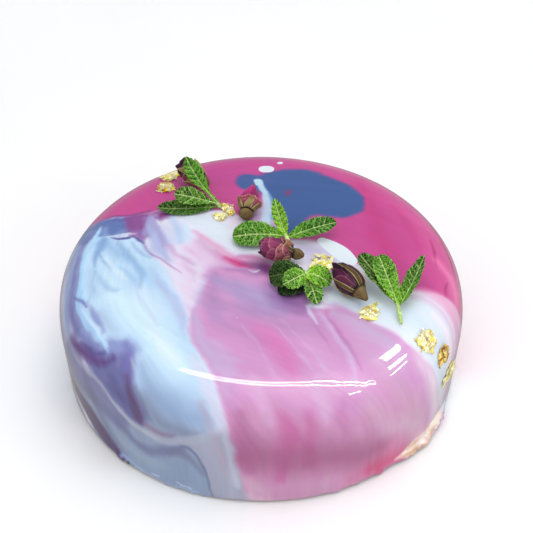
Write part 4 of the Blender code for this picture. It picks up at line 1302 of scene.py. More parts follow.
def gold_material():
    """Edible gold leaf: bright pale foil in patches that partly stand for facets catching the light as
    painted highlights, amber on some folds, and brown in the dips, partly the foil's own tan and partly
    painted shade.
    """
    tree = NodeTree("gold_leaf")
    place = tree.place()
    crease = tree.noise(place, 340.0, 3.0, 0.6)
    shards = tree.cells(place, 520.0).outputs["Color"]
    # Pale and yellow patches at random: partly painted highlights for the facets.
    warm = tree.mix(tree.remap(shards, 0.4, 0.7), FOIL_PALE, FOIL_YELLOW)
    amber = tree.mix(tree.remap(shards, 0.8, 0.88), warm, FOIL_AMBER)
    aged = tree.math("MULTIPLY", tree.math("POWER", tree.attribute("amber").outputs["Fac"], 2.0), 0.6)
    tanned = tree.mix(aged, amber, FOIL_TAN)
    # Brown in the dips: partly the foil's own tan, partly painted shade.
    fold = tree.math("MULTIPLY", tree.remap(crease, 0.53, 0.43), tree.math("ADD", aged, 0.35))
    colour = tree.mix(fold, tanned, FOIL_BROWN_SHADE)
    normal = tree.bump(crease, 0.5, 0.7)
    tree.set(Metallic=0.12, Roughness=0.25)
    return tree.finish(colour, normal=normal)


# The mint tips.

LEAF_STEPS = 84
LEAF_STRIPS = 26
STRIP_PACKING = 0.92
LEAF_THICKNESS = 0.42
LEAF_RUFFLE = 0.35
LEAF_END = 0.35
LEAF_NECK = 0.85
TOOTH_PITCH = 1.7
TOOTH_SIZE = 0.75
TOOTH_PEAK = 0.72
MIDRIB_WIDTH = 0.34
VEIN_WIDTH = 0.25
VEIN_PITCH = 2.7
VEIN_LEAN = 0.8
VEIN_WAVER = 1.2
GROOVE_WIDTH = 0.55
GROOVE_DEPTH = 0.28
QUILT = 0.7

LEAF_DEEP = (6, 40, 4)
LEAF_BLUE = (10, 112, 50)
LEAF_GREEN = (52, 154, 0)
LEAF_YOUNG = (164, 232, 0)
LEAF_EDGE = (170, 210, 110)
LEAF_UNDERSIDE = (150, 176, 120)
STEM_PALE = (226, 246, 160)


@dataclass
class Leaf:
    """A blade from base to tip; the upper side looks along face.

    fold is how steeply the halves rise from the midrib, in degrees, arch and bend how far the
    middle bows up and sideways, belly where along the blade it is widest, and blunt 0.4 for a
    round tip and 0.9 for a pointed one. tone runs from 0, old and dark, to 1, young and bright,
    and on blades that lie in shade a low tone is partly painted shade; warm from 0, bluish, to 1,
    yellowish; shaded is the side across the midrib that gets painted shade, -1, 0 or 1; and pale
    is how much the veins stand out.
    """

    base: tuple
    tip: tuple
    width: float
    face: tuple
    fold: float = 12.0
    arch: float = 1.0
    bend: float = 0.0
    belly: float = 0.52
    tone: float = 0.5
    warm: float = 0.5
    shaded: float = 0.0
    blunt: float = 0.62
    pale: float = 0.85


@dataclass
class Sprig:
    """A mint tip: blades from one joint and the stem below it.

    settled is how far it was then moved up, or down where it is negative, to rest on the glaze.
    """

    name: str
    joint: tuple
    stem_end: tuple
    settled: float
    leaves: list


SPRIGS = [
    Sprig(
        "mint_sprig_back",
        joint=(-19.4, 32.2, 2.4),
        stem_end=(-18.4, 31.4, 1.4),
        settled=-0.53,
        leaves=[
            Leaf(
                (-19.6, 32.8, 2.8), (-34.8, 51.0, 15.9), 8.0, (0.3, -0.8, 0.6), 8, 0.4, 1.2,
                belly=0.7, tone=0.66, warm=0.6, blunt=0.95, pale=0.6,
            ),
            Leaf(
                (-20.0, 32.0, 3.2), (-39.4, 34.4, 7.0), 9.0, (0.0, -0.6, 1.0), 8, 1.2, 0.0,
                belly=0.7, tone=0.42, warm=0.5, shaded=-1, blunt=0.6,
            ),
            Leaf(
                (-20.0, 31.8, 2.0), (-47.2, 30.6, 2.0), 8.4, (0.0, -0.5, 1.0), 16, 0.2, 0.8,
                belly=0.58, tone=0.3, warm=0.1, shaded=-1, blunt=0.7, pale=0.45,
            ),
        ],
    ),
    Sprig(
        "mint_sprig_middle",
        joint=(11.2, 7.6, 3.0),
        stem_end=(12.4, 4.8, 1.2),
        settled=-0.243,
        leaves=[
            Leaf(
                (10.2, 8.6, 3.0), (-12.4, 8.0, 2.8), 12.6, (0.1, -0.45, 1.0), 8, 2.0, 0.0,
                belly=0.64, tone=0.5, warm=0.6, blunt=0.46,
            ),
            Leaf(
                (11.0, 8.2, 3.2), (6.0, 19.6, 15.0), 6.4, (0.0, -1.0, 0.7), 14, 0.4, 0.2,
                belly=0.5, tone=1.0, warm=0.8, blunt=0.7, pale=1.0,
            ),
            Leaf(
                (12.0, 7.4, 3.0), (33.4, 13.2, 6.8), 8.6, (-0.1, -0.6, 1.0), 14, 1.6, 0.0,
                belly=0.56, tone=0.5, warm=0.15, blunt=0.55, pale=0.7,
            ),
        ],
    ),
    Sprig(
        "mint_sprig_front",
        joint=(18.8, -21.4, 6.4),
        stem_end=(19.2, -22.4, 1.0),
        settled=-0.454,
        leaves=[
            # This blade's low tone is partly its own dark green and partly painted shade.
            Leaf(
                (18.6, -21.0, 6.8), (3.6, -19.4, 3.2), 11.6, (-0.1, -0.7, 0.9), 8, 2.6, 0.0,
                belly=0.6, tone=0.08, warm=0.6, blunt=0.46, pale=0.22,
            ),
            Leaf(
                (18.6, -22.0, 7.2), (9.4, -26.8, 5.2), 9.0, (0.0, -0.8, 1.0), 10, 0.8, 0.0,
                belly=0.5, tone=0.66, warm=0.5, blunt=0.5, pale=1.0,
            ),
            Leaf(
                (19.0, -21.4, 7.2), (29.4, -24.4, 3.6), 10.0, (0.2, -0.4, 1.0), 8, 1.8, 0.0,
                belly=0.5, tone=0.8, warm=1.0, blunt=0.5,
            ),
            Leaf(
                (19.6, -22.2, 6.0), (23.4, -34.4, 1.6), 7.6, (0.2, -0.9, 0.9), 12, 1.0, 0.0,
                belly=0.62, tone=0.6, warm=0.5, shaded=-1, blunt=0.42,
            ),
            # This blade lies under the others; its tone of 0 is partly painted shade.
            Leaf(
                (19.0, -22.4, 2.2), (7.4, -27.2, 1.4), 11.4, (0.0, 0.0, 1.0), 4, 0.8, 0.0,
                belly=0.5, tone=0.0, warm=0.3, blunt=0.46, pale=0.08,
            ),
        ],
    ),
    Sprig(
        "mint_sprig_right",
        joint=(56.4, -36.8, 1.8),
        stem_end=(57.2, -44.8, -0.2),
        settled=-0.365,
        leaves=[
            Leaf(
                (56.2, -36.0, 2.0), (42.2, -11.8, 9.0), 10.4, (0.4, -0.6, 0.9), 16, 0.8, 0.0,
                belly=0.66, tone=0.3, warm=0.5, shaded=1, blunt=0.5, pale=0.7,
            ),
            Leaf(
                (56.4, -36.4, 2.4), (49.6, -15.4, 11.4), 9.6, (0.0, -0.8, 0.7), 14, 0.8, 0.0,
                belly=0.66, tone=0.7, warm=0.65, blunt=0.5, pale=1.0,
            ),
            Leaf(
                (57.0, -36.4, 2.2), (68.4, -16.2, 12.4), 7.6, (-0.7, -0.8, 0.5), 22, 0.4, -0.8,
                belly=0.46, tone=0.55, warm=0.45, shaded=1, blunt=0.8, pale=0.7,
            ),
        ],
    ),
]
STEM_RADIUS = 0.95
STEM_VEIN = 0.64
JOINT_RADIUS = 1.7


def frame_between(start, end, face):
    """Matrix at start: X runs to end and Z leans as far as it can towards face."""
    forward = (end - start).normalized()
    up = Vector(face) - forward * Vector(face).dot(forward)
    up.normalize()
    side = up.cross(forward)
    return Matrix.Translation(start) @ Matrix((forward, side, up)).transposed().to_4x4()


def above_top(point, settled):
    """A point given above the cake's top, in millimetres above the table."""
    return Vector(point) + Vector((0, 0, TOP_LEVEL + settled))


def leaf_breadth(share, belly, blunt):
    """Half breadth of a blade, 0 to 1, at this share of its length; widest at belly."""
    rise = blunt * belly / (1 - belly)
    most = belly**rise * (1 - belly) ** blunt
    return share**rise * (1 - share) ** blunt / most


def vein_marks(along, aside, length):
    """(line, cushion, slope) of a place on a blade.

    line is 1 on a vein and 0 off it, cushion 0 at the veins and 1 between them, and slope runs
    from -1 on the side of a cushion towards the base to 1 on the side towards the tip. The blade's
    colour takes its painted shade and light from cushion and slope.
    """
    forward = along - VEIN_LEAN * aside
    forward += VEIN_WAVER * noise.noise(Vector((along * 0.4, aside * 0.4, length)))
    place = (forward / VEIN_PITCH) % 1.0
    away = min(place, 1 - place) * VEIN_PITCH
    midrib = math.exp(-((aside / MIDRIB_WIDTH) ** 2))
    side_vein = math.exp(-((away / VEIN_WIDTH) ** 2)) * min(1.0, max(0.0, 1 - along / length) * 6)
    cushion = math.sin(math.pi * place) ** 0.7 * (1 - math.exp(-((aside / 0.9) ** 2)))
    slope = -math.cos(math.pi * place) * min(1.0, aside / 1.2)
    return max(midrib, 0.88 * side_vein), cushion, slope


def tooth(along):
    """How far the edge stands out here: teeth that lean towards the tip."""
    place = (along / TOOTH_PITCH) % 1.0
    return place if place < TOOTH_PEAK else (1 - place) / (1 - TOOTH_PEAK) * TOOTH_PEAK


def blade_point(leaf, length, number, share, across):
    """(place, vein, cushion, slope) on the blade's upper side in its own frame."""
    fold = math.radians(leaf.fold)
    breadth = leaf.width / 2 * leaf_breadth(share, leaf.belly, leaf.blunt)
    edge = smooth((abs(across) - 0.72) / 0.28)
    room = min(1.0, breadth / 1.6)
    half = breadth + (tooth(share * length) - 0.42) * TOOTH_SIZE * float(edge) * room
    half = max(half, LEAF_NECK if share < 0.4 else LEAF_END)
    middle = 4 * share * (1 - share)
    aside = abs(across) * half
    vein, cushion, slope = vein_marks(share * length, aside, length)
    ruffle = LEAF_RUFFLE * math.sin(3.2 * math.tau * share + number) * across * across
    quilt = QUILT * (cushion - 0.45) * room * (1 - 0.55 * across**6)
    groove = -GROOVE_DEPTH * math.exp(-((aside / GROOVE_WIDTH) ** 2)) * room
    rise = aside * math.sin(fold) + leaf.arch * middle + ruffle + quilt + groove
    side = leaf.bend * middle + across * half * math.cos(fold)
    return (share * length, side, rise), vein, cushion * room, slope * room


def blade_colour(leaf, share, across, cushion, slope):
    """Screen colour of a place on a blade: lusher on the cushions, with painted shade on the shaded half,
    in the furrows and on the side of each cushion towards the base, and painted light on the side towards
    the tip.
    """
    cool = blend(LEAF_DEEP, LEAF_BLUE, min(1, leaf.tone * 2))
    lush = blend(LEAF_DEEP, LEAF_GREEN, min(1, leaf.tone * 2))
    colour = blend(cool, lush, leaf.warm)
    if leaf.tone > 0.5:
        colour = blend(colour, LEAF_YOUNG, (leaf.tone - 0.5) * 1.3 * (0.4 + 0.6 * leaf.warm))
    # Painted shade on the blade's shaded half.
    if leaf.shaded * across > 0:
        colour = blend(colour, LEAF_DEEP, 0.45)
    # Painted shade in the furrows between the cushions.
    colour = blend(colour, LEAF_DEEP, 0.6 * (1 - cushion) * (1 - 0.5 * leaf.tone))
    # Painted shade on the side of each cushion towards the base.
    colour = blend(colour, LEAF_DEEP, 0.7 * max(0.0, -slope))
    # Painted light on the side of each cushion towards the tip.
    colour = blend(colour, LEAF_YOUNG, 0.6 * max(0.0, slope) * leaf.tone)
    near_base = max(0.0, 1 - share / 0.6)
    colour = blend(colour, LEAF_YOUNG, min(1.0, 1.2 * near_base * leaf.tone))
    rim = max(0.0, (abs(across) - 0.86) / 0.14)
    return blend(colour, LEAF_EDGE, 0.5 * rim * leaf.pale)


def strip_place(strip):
    """Where a strip's edge lies across a blade, from -1 to 1; strips are closer near the edges."""
    widest = math.pi / 2 * STRIP_PACKING
    return math.sin((2 * strip / LEAF_STRIPS - 1) * widest) / math.sin(widest)


def leaf_grid(leaf, number, settled):
    """Points and per-point looks of one blade: its upper side, then its underside."""
    start, end = above_top(leaf.base, settled), above_top(leaf.tip, settled)
    length = (end - start).length
    matrix = frame_between(start, end, leaf.face)
    points, veins, tints, places = [], [], [], []
    for under in (0, 1):
        for i in range(LEAF_STEPS + 1):
            share = i / LEAF_STEPS
            for j in range(LEAF_STRIPS + 1):
                across = strip_place(j)
                place, vein, cushion, slope = blade_point(leaf, length, number, share, across)
                thick = LEAF_THICKNESS * (1 - 0.6 * across**4)
                points.append(matrix @ Vector((place[0], place[1], place[2] - under * thick)))
                veins.append(vein * (0.8 if under else 1.0))
                tint = blade_colour(leaf, share, across, cushion, slope)
                tints.append(blend(tint, LEAF_UNDERSIDE, 0.35) if under else tint)
                places.append((place[0] + 40 * number, place[1], 3.0 * under))
    return points, veins, tints, places


def stem_grid(start, end, radius, sides=12, steps=14):
    """Points and faces of a closed stalk with four low ridges and rounded ends."""
    forward = (end - start).normalized()
    side = forward.orthogonal().normalized()
    other = forward.cross(side)
    points = []
    for i in range(steps + 1):
        share = i / steps
        close = math.sin(math.pi * (share * 0.94 + 0.03)) ** 0.25
        spot = start.lerp(end, share)
        for k in range(sides):
            turn = math.tau * k / sides
            ridge = 1 + 0.1 * math.cos(4 * turn)
            away = side * math.cos(turn) + other * math.sin(turn)
            points.append(spot + away * radius * close * ridge)
    faces = []
    for i in range(steps):
        for k in range(sides):
            n = (k + 1) % sides
            faces.append((i * sides + k, i * sides + n, (i + 1) * sides + n, (i + 1) * sides + k))
    faces.append(tuple(range(sides))[::-1])
    faces.append(tuple(steps * sides + k for k in range(sides)))
    return points, faces


def mint_sprig(sprig, material):
    """The blades and the stem of a mint tip in one object."""
    points, faces, veins, pales, tints, places = [], [], [], [], [], []
    for number, leaf in enumerate(sprig.leaves):
        leaf_points, leaf_veins, leaf_tints, leaf_places = leaf_grid(leaf, number, sprig.settled)
        faces += shifted(sheet_faces(LEAF_STEPS, LEAF_STRIPS), len(points))
        points += leaf_points
        veins += leaf_veins
        pales += [leaf.pale] * len(leaf_points)
        tints += leaf_tints
        places += leaf_places
    joint = above_top(sprig.joint, sprig.settled)
    stem_end = above_top(sprig.stem_end, sprig.settled)
    beyond = joint + (joint - stem_end).normalized() * JOINT_RADIUS * 0.6
    stem_points, stem_faces = stem_grid(beyond, stem_end, STEM_RADIUS)
    faces += shifted(stem_faces, len(points))
    points += stem_points
    veins += [STEM_VEIN] * len(stem_points)
    pales += [1.0] * len(stem_points)
    tints += [STEM_PALE] * len(stem_points)
    places += [tuple(point) for point in stem_points]
    obj = mesh_object(sprig.name + "_dressed", [tuple(point) for point in points], faces, material)
    store_number(obj, "vein", veins)
    store_number(obj, "pale", pales)
    store_colour(obj, "tint", tints)
    store_vector(obj, "blade", places)
    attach(obj, "root")
    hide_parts(sprig.name)


# The dried rosebuds.

PETAL_STEPS = 26
PETAL_STRIPS = 22
PETAL_THICKNESS = 0.22
PETAL_FRILL = 0.022
SEPAL_COUNT = 5
SEPAL_STEPS = 18
SEPAL_STRIPS = 10
SEPAL_THICKNESS = 0.28
CORE_SEGMENTS = 36
CORE_RINGS = 28
HIP_SEGMENTS = 28
HIP_RINGS = 16
BUD_COLLAR = 0.26

PETAL_PLUM = (52, 6, 46)
PETAL_TAN = (212, 152, 104)
PETAL_EDGE = (246, 222, 186)
SEPAL_OLIVE = (104, 96, 34)
SEPAL_EDGE = (226, 208, 146)
SEPAL_UNDERSIDE = (70, 50, 34)
HIP_OLIVE = (156, 138, 84)
HIP_BROWN = (112, 80, 46)
CREASE_SHADE_BROWN = (34, 14, 12)


@dataclass
class Ring:
    """A ring of equal petals round a bud; inset 0 is outermost and lift bends the edges outwards.

    top is how high they reach, from 0 at the hip to 1 at the point, and tan runs from 0, the
    bud's own colour, to 1, dried tan.
    """

    count: int
    spread: float
    lift: float
    top: float
    inset: float
    tan: float


POINTED_RINGS = [
    Ring(3, 1.20, 0.3, 0.99, 1.6, 0.0),
    Ring(2, 1.70, 0.6, 0.95, 0.8, 0.0),
    Ring(5, 0.8, 2.4, 0.36, -0.3, 0.5),
]
LAYERED_RINGS = [
    Ring(3, 1.40, 0.2, 0.94, 2.0, 0.0),
    Ring(2, 1.80, 0.4, 0.90, 1.2, 0.0),
    Ring(2, 1.90, 0.6, 0.72, 0.6, 0.1),
    Ring(2, 1.70, 0.8, 0.46, 0.2, 0.5),
    Ring(3, 1.05, 1.0, 0.28, -0.1, 0.95),
]
CLOSED_RINGS = [
    Ring(3, 1.20, 0.2, 0.99, 1.8, 0.0),
    Ring(3, 1.30, 0.5, 0.90, 0.9, 0.0),
    Ring(2, 1.50, 0.7, 0.66, 0.3, 0.16),
]


@dataclass
class Bud:
    """A dried rosebud from the middle of its hip to its point.

    settled is how far it was then moved up to rest on the glaze.
    turn rolls it about its own axis in degrees, rosy runs from 0, dark plum, to 1, the colour in
    petal, and sepal_reach is how far up the petals the sepals go. closed is 0.8 for a pointed bud
    and less for a blunt one, and cone is 0 for a round hip and 1 for one that tapers to the stalk.
    """

    name: str
    hip: tuple
    tip: tuple
    radius: float
    hip_radius: float
    settled: float
    turn: float
    petal: tuple
    rosy: float
    sepal_reach: float
    sepal_width: float
    closed: float
    cone: float
    rings: list
    sepal: tuple = SEPAL_OLIVE


BUDS = [
    Bud(
        "rosebud_back", (-26.6, 46.2, 4.0), (-37.8, 57.6, 6.2), 5.5, 3.1, 0.746,
        turn=30, petal=(150, 70, 96), rosy=0.2, sepal_reach=0.66, sepal_width=0.5,
        closed=0.6, cone=0.5, rings=LAYERED_RINGS, sepal=(212, 186, 126),
    ),
    Bud(
        "rosebud_left", (-6.6, 23.8, 3.6), (-3.4, 37.0, 9.0), 5.0, 3.3, 0.005,
        turn=12, petal=(228, 56, 144), rosy=0.95, sepal_reach=0.42, sepal_width=0.58,
        closed=0.8, cone=0.0, rings=POINTED_RINGS, sepal=(186, 166, 106),
    ),
    Bud(
        "rosebud_middle", (16.2, -7.2, 3.8), (-0.8, -4.8, 6.8), 5.6, 2.5, 1.033,
        turn=40, petal=(204, 76, 140), rosy=0.58, sepal_reach=0.2, sepal_width=0.26,
        closed=0.62, cone=0.2, rings=LAYERED_RINGS,
    ),
    Bud(
        "rosebud_right", (41.8, -33.0, 3.2), (31.6, -18.6, 6.4), 5.9, 3.0, 1.424,
        turn=80, petal=(130, 30, 92), rosy=0.4, sepal_reach=0.84, sepal_width=0.24,
        closed=0.7, cone=1.0, rings=CLOSED_RINGS,
    ),
]


def petal_skin(bud, climb):
    """Distance of the petals' outside from the axis at this share of their height."""
    return bud.radius * math.sin(math.pi * (0.17 + bud.closed * climb**0.85)) ** 0.8


def bud_length(bud):
    """From the bottom of the hip to the bud's point."""
    return (Vector(bud.tip) - Vector(bud.hip)).length + bud.hip_radius


def bud_place(bud, climb, angle, radius):
    """A place round the bud in its own frame; climb 0 is the collar and 1 the point."""
    length = bud_length(bud)
    along = (BUD_COLLAR + climb * (1 - BUD_COLLAR)) * length - bud.hip_radius
    return along, radius * math.cos(angle), radius * math.sin(angle)


class BudMesh:
    """Points, faces and per-point looks of one bud as they are gathered."""

    def __init__(self):
        self.points, self.faces, self.tints, self.grains = [], [], [], []

    def sheet(self, rows, columns, thickness, at, tint, grain):
        """A thin closed sheet; at gives (place, outward) in the bud's frame for shares u and v."""
        start = len(self.points)
        for under in (0, 1):
            for i in range(rows + 1):
                for j in range(columns + 1):
                    u, v = i / rows, j / columns
                    place, outward = at(u, v)
                    self.points.append(Vector(place) - Vector(outward) * (under * thickness))
                    self.tints.append(tint(u, v, under))
                    self.grains.append(grain(u, v))
        turned_over = [(a, d, c, b) for a, b, c, d in sheet_faces(rows, columns)]
        self.faces += shifted(turned_over, start)

    def turned(self, profile, segments, tint, ribs, rib_size, twist=0.0):
        """A closed round body from (along, radius) pairs in the bud's frame."""
        start = len(self.points)
        for i, (along, radius) in enumerate(profile):
            share = i / (len(profile) - 1)
            for k in range(segments):
                turn = math.tau * k / segments
                rib = 1 + rib_size * math.cos(ribs * turn + twist * share) * math.sin(math.pi * share)
                dent = Vector((along * 0.5, math.cos(turn) * 1.5, math.sin(turn) * 1.5))
                rib += 0.05 * noise.noise(dent)
                place = (along, radius * rib * math.cos(turn), radius * rib * math.sin(turn))
                self.points.append(Vector(place))
                self.tints.append(tint(share, turn))
                self.grains.append((along, 6 * turn, 7.0))
        for i in range(len(profile) - 1):
            for k in range(segments):
                n = (k + 1) % segments
                a, b = start + i * segments, start + (i + 1) * segments
                self.faces.append((a + k, b + k, b + n, a + n))
        self.faces.append(tuple(start + k for k in range(segments)))
        last = start + (len(profile) - 1) * segments
        self.faces.append(tuple(last + k for k in range(segments))[::-1])


def petal_tint(bud, ring, number, u, v, under):
    """Plum low down and in the folds, rosier up the petal, paler along its edge, with painted shade at
    its base and on its inner side.
    """
    rosy = bud.rosy + 0.16 * math.sin(2.1 * number + bud.turn)
    near_tip = max(0.0, (u * ring.top - 0.62) / 0.38)
    flush = rosy * (0.5 + 0.9 * u) - (1 - bud.rosy) * near_tip
    colour = blend(PETAL_PLUM, bud.petal, min(1, max(0, flush)))
    fold = 0.5 + 0.5 * math.sin(9 * v + 2 * number)
    colour = blend(colour, PETAL_PLUM, 0.6 * fold * (1 - 0.7 * u))
    colour = blend(colour, PETAL_TAN, ring.tan * (0.35 + 0.65 * u))
    rim = smooth((u - 0.93) / 0.05) + smooth((abs(2 * v - 1) - 0.94) / 0.05)
    colour = blend(colour, PETAL_EDGE, min(1, float(rim)) * (0.12 + 0.3 * bud.rosy + 0.5 * ring.tan))
    # Painted shade at the base of the petal, where it meets the hip.
    colour = blend(colour, CREASE_SHADE_BROWN, 0.85 * max(0.0, 1 - u * ring.top / 0.08))
    # Painted shade on the inner side of the petal.
    return blend(colour, CREASE_SHADE_BROWN, 0.6) if under else colour


def add_petal(made, bud, ring, number, centre):
    """One wrapped petal; its right edge lies over its neighbour."""
    waver = math.sin(5.3 * number + bud.turn)

    def at(u, v):
        aside = 2 * v - 1
        reach = ring.top * (1 - 0.26 * abs(aside) ** 3.2 + 0.16 * waver * aside)
        reach += PETAL_FRILL * math.sin((7 + 3 * waver) * aside + 3 * waver)
        climb = 0.015 + u * reach
        angle = centre + aside * ring.spread * (1 - 0.1 * u) + 0.06 * waver * u
        radius = petal_skin(bud, min(climb, 0.985))
        radius *= 1 - 0.075 * ring.inset - 0.09 * (1 - v) - 0.02
        radius += 0.42 * smooth((u - 0.8) / 0.2) * ring.lift
        radius += 0.10 * math.sin(7 * aside + 4 * number + 3 * u) * (1 - 0.6 * u)
        radius += 0.2 * noise.noise(Vector((climb * 5 + number * 3, aside * 4, ring.inset)))
        place = bud_place(bud, climb, angle, radius)
        outward = (0.0, math.cos(angle), math.sin(angle))
        return place, outward

    def tint(u, v, under):
        return petal_tint(bud, ring, number, u, v, under)

    def grain(u, v):
        return u * 6 * ring.top + number * 11, v * 14, ring.inset * 2.0

    made.sheet(PETAL_STEPS, PETAL_STRIPS, PETAL_THICKNESS, at, tint, grain)


def add_sepal(made, bud, number, centre):
    """A narrow pointed sepal that hugs the petals, its tip bent a little away."""
    reach = bud.sepal_reach * (1 + 0.2 * math.sin(2.3 * number + 1.0))
    width = bud.sepal_width * (1 + 0.15 * math.sin(4.1 * number))

    def at(u, v):
        aside = 2 * v - 1
        climb = max(0.0, u * reach)
        narrow = (1 - u) ** 0.75 + 0.03
        angle = centre + aside * width * narrow + 0.5 * u * u * math.sin(number * 1.7 + bud.turn)
        radius = petal_skin(bud, min(climb, 0.97)) + 0.16 + 0.4 * u**4
        radius += 0.14 * (1 - aside * aside) + 0.08 * math.sin(9 * u + number)
        return bud_place(bud, climb, angle, radius), (0.0, math.cos(angle), math.sin(angle))

    def tint(u, v, under):
        aside = abs(2 * v - 1)
        colour = blend(bud.sepal, HIP_BROWN, 0.3 + 0.3 * math.sin(3 * number + 4 * u))
        colour = blend(colour, SEPAL_EDGE, float(smooth((aside - 0.66) / 0.24)) * 0.95)
        return blend(colour, SEPAL_UNDERSIDE, 0.4) if under else colour

    def grain(u, v):
        return u * 5 + number * 9, v * 8, 4.0

    made.sheet(SEPAL_STEPS, SEPAL_STRIPS, SEPAL_THICKNESS, at, tint, grain)


def hip_outline(bud):
    """(along, radius) pairs of the green knob below the petals."""
    outline = []
    for i in range(HIP_RINGS + 1):
        share = i / HIP_RINGS
        bow = math.sin(math.pi * (0.03 + 0.78 * share)) ** 0.62
        bow += bud.cone * (0.3 + 0.85 * share - bow)
        outline.append((share * BUD_COLLAR * bud_length(bud) - bud.hip_radius, bud.hip_radius * bow))
    return outline


def hip_tint(share, turn):
    """Olive and brown in turns round the hip, with painted shade where the petals begin."""
    colour = blend(HIP_OLIVE, HIP_BROWN, 0.5 + 0.4 * math.sin(3 * turn) * share)
    # Painted shade where the petals begin.
    return blend(colour, CREASE_SHADE_BROWN, 0.8 * float(smooth((share - 0.8) / 0.2)))


def core_outline(bud):
    """(along, radius) pairs of the dark body under the petals."""
    outline = []
    for i in range(CORE_RINGS + 1):
        climb = i / CORE_RINGS
        closing = 1 if climb < 0.97 else 0.3
        radius = petal_skin(bud, min(climb, 0.99)) * (0.8 - 0.1 * climb) * closing
        along = (BUD_COLLAR + climb * 0.96 * (1 - BUD_COLLAR)) * bud_length(bud) - bud.hip_radius
        outline.append((along, radius))
    return outline


def rosebud(bud, material):
    """The core, petals, sepals and hip of a bud in one object."""
    made = BudMesh()
    # The core is dark: partly its own plum, partly painted shade between the petals.
    dark = blend(CREASE_SHADE_BROWN, bud.petal, 0.35 * bud.rosy)

    def core_tint(share, turn):
        return blend(dark, bud.petal, 0.5 * share * bud.rosy)

    made.turned(core_outline(bud), CORE_SEGMENTS, core_tint, 5, 0.07, 4.0)
    roll = math.radians(bud.turn)
    number = 0
    for order, ring in enumerate(bud.rings):
        for step in range(ring.count):
            centre = roll + 0.7 * order + math.tau * step / ring.count
            add_petal(made, bud, ring, number, centre)
            number += 1
    for number in range(SEPAL_COUNT):
        add_sepal(made, bud, number, roll + 0.3 + math.tau * number / SEPAL_COUNT)
    made.turned(hip_outline(bud), HIP_SEGMENTS, hip_tint, 6, 0.05)
    hip_place = above_top(bud.hip, bud.settled)
    matrix = frame_between(hip_place, above_top(bud.tip, bud.settled), (0, 0, 1))
    points = [tuple(matrix @ point) for point in made.points]
    obj = mesh_object(bud.name + "_dressed", points, made.faces, material)
    store_colour(obj, "tint", made.tints)
    store_vector(obj, "grain", made.grains)
    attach(obj, "root")
    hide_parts(bud.name)


# Gold leaf.

FOIL_GRID = 18
FOIL_THICKNESS = 0.1

# The sheets of a scrap lie on each other, the first the largest: their sizes, and how much
# higher each lies than the one below.
FOIL_SIZES = [1.12, 0.66, 0.66]
FOIL_STEP = 0.35


def along_glaze(distance):
    """(radius, height) at this distance along the outline from the middle of the top."""
    radius = np.interp(distance, FINE_ARCS, FINE_RADII)
    return float(radius), float(np.interp(distance, FINE_ARCS, FINE_HEIGHTS))


def glaze_frame(angle, distance):
    """Matrix of a spot on the glaze: its Z looks out, its X runs round the cake."""
    radius, height = along_glaze(distance)
    further, lower = along_glaze(distance + 1.0)
    out = Vector((math.cos(angle), math.sin(angle), 0))
    down = (out * (further - radius) + Vector((0, 0, lower - height))).normalized()
    around = Vector((-math.sin(angle), math.cos(angle), 0))
    away = down.cross(around)
    turn = Matrix((around, -down, away)).transposed().to_4x4()
    return Matrix.Translation(out * radius + Vector((0, 0, height))) @ turn


def ridged(point, seed):
    """Sharp folds: 1 on a crease and less between them."""
    return 1 - abs(noise.noise(point + Vector((seed, 0, 0)))) * 2.4


def foil_height(x, y, reach, seed):
    """How far a crumpled scrap stands off the glaze here."""
    place = Vector((x, y, 0)) * 0.36
    fold = max(0.0, ridged(place, seed)) + 0.5 * max(0.0, ridged(place * 2.3, seed + 5))
    return 0.12 + 0.8 * fold * (0.35 + 0.65 * max(0.0, 1 - reach))


def foil_sheet(number, layer, points, browns, faces):
    """One torn crumpled sheet of a scrap, its middle moved a little from the others."""
    angle, distance, length, breadth, brown = GOLD_SCRAPS[number]
    seed = number * 7.3 + layer * 31.7
    shift_x = 0.2 * length * math.sin(seed)
    shift_y = 0.2 * breadth * math.cos(1.7 * seed)
    size = FOIL_SIZES[layer]
    matrix = glaze_frame(math.radians(angle), distance)
    start = len(points)
    kept = {}
    for i in range(FOIL_GRID + 1):
        for j in range(FOIL_GRID + 1):
            u, v = 2 * i / FOIL_GRID - 1, 2 * j / FOIL_GRID - 1
            reach = math.hypot(u, v)
            turn = math.atan2(v, u)
            spot = Vector((3.4 * math.cos(turn), 3.4 * math.sin(turn), seed))
            torn = 0.86 + 0.1 * math.cos(3 * turn + seed) + 0.34 * noise.noise(spot)
            holes = noise.noise(Vector((u * 3.1, v * 3.1, seed + 9)))
            if reach > torn or (holes > 0.6 and reach > 0.2):
                continue
            x = u * length / 2 * size + (shift_x if layer else 0)
            y = v * breadth / 2 * size + (shift_y if layer else 0)
            x += 0.5 * noise.noise(Vector((x * 0.7, y * 0.7, seed + 3)))
            y += 0.5 * noise.noise(Vector((x * 0.7, y * 0.7, seed + 4)))
            stand = foil_height(x, y, reach / torn, seed) + FOIL_STEP * layer
            drop = glaze_sag(angle, distance, x, y)
            kept[i, j] = start + len(kept)
            points.append(matrix @ Vector((x, y, stand - drop)))
            browns.append(brown)
    for (i, j), a in kept.items():
        corners = [(i + 1, j), (i + 1, j + 1), (i, j + 1)]
        if all(corner in kept for corner in corners):
            faces.append((a, *(kept[corner] for corner in corners)))


def glaze_sag(angle, distance, x, y):
    """How far the glaze curves away below the flat plane of a scrap's middle."""
    turn = math.radians(angle)
    middle_radius, middle_height = along_glaze(distance)
    radius, height = along_glaze(distance - y)
    further, lower = along_glaze(distance + 1.0)
    slope = Vector((further - middle_radius, lower - middle_height)).normalized()
    step = Vector((radius - middle_radius, height - middle_height))
    bow = -(step.x * -slope.y + step.y * slope.x)
    round_bow = x * x / (2 * max(radius, 20.0)) * abs(slope.y)
    return bow + round_bow


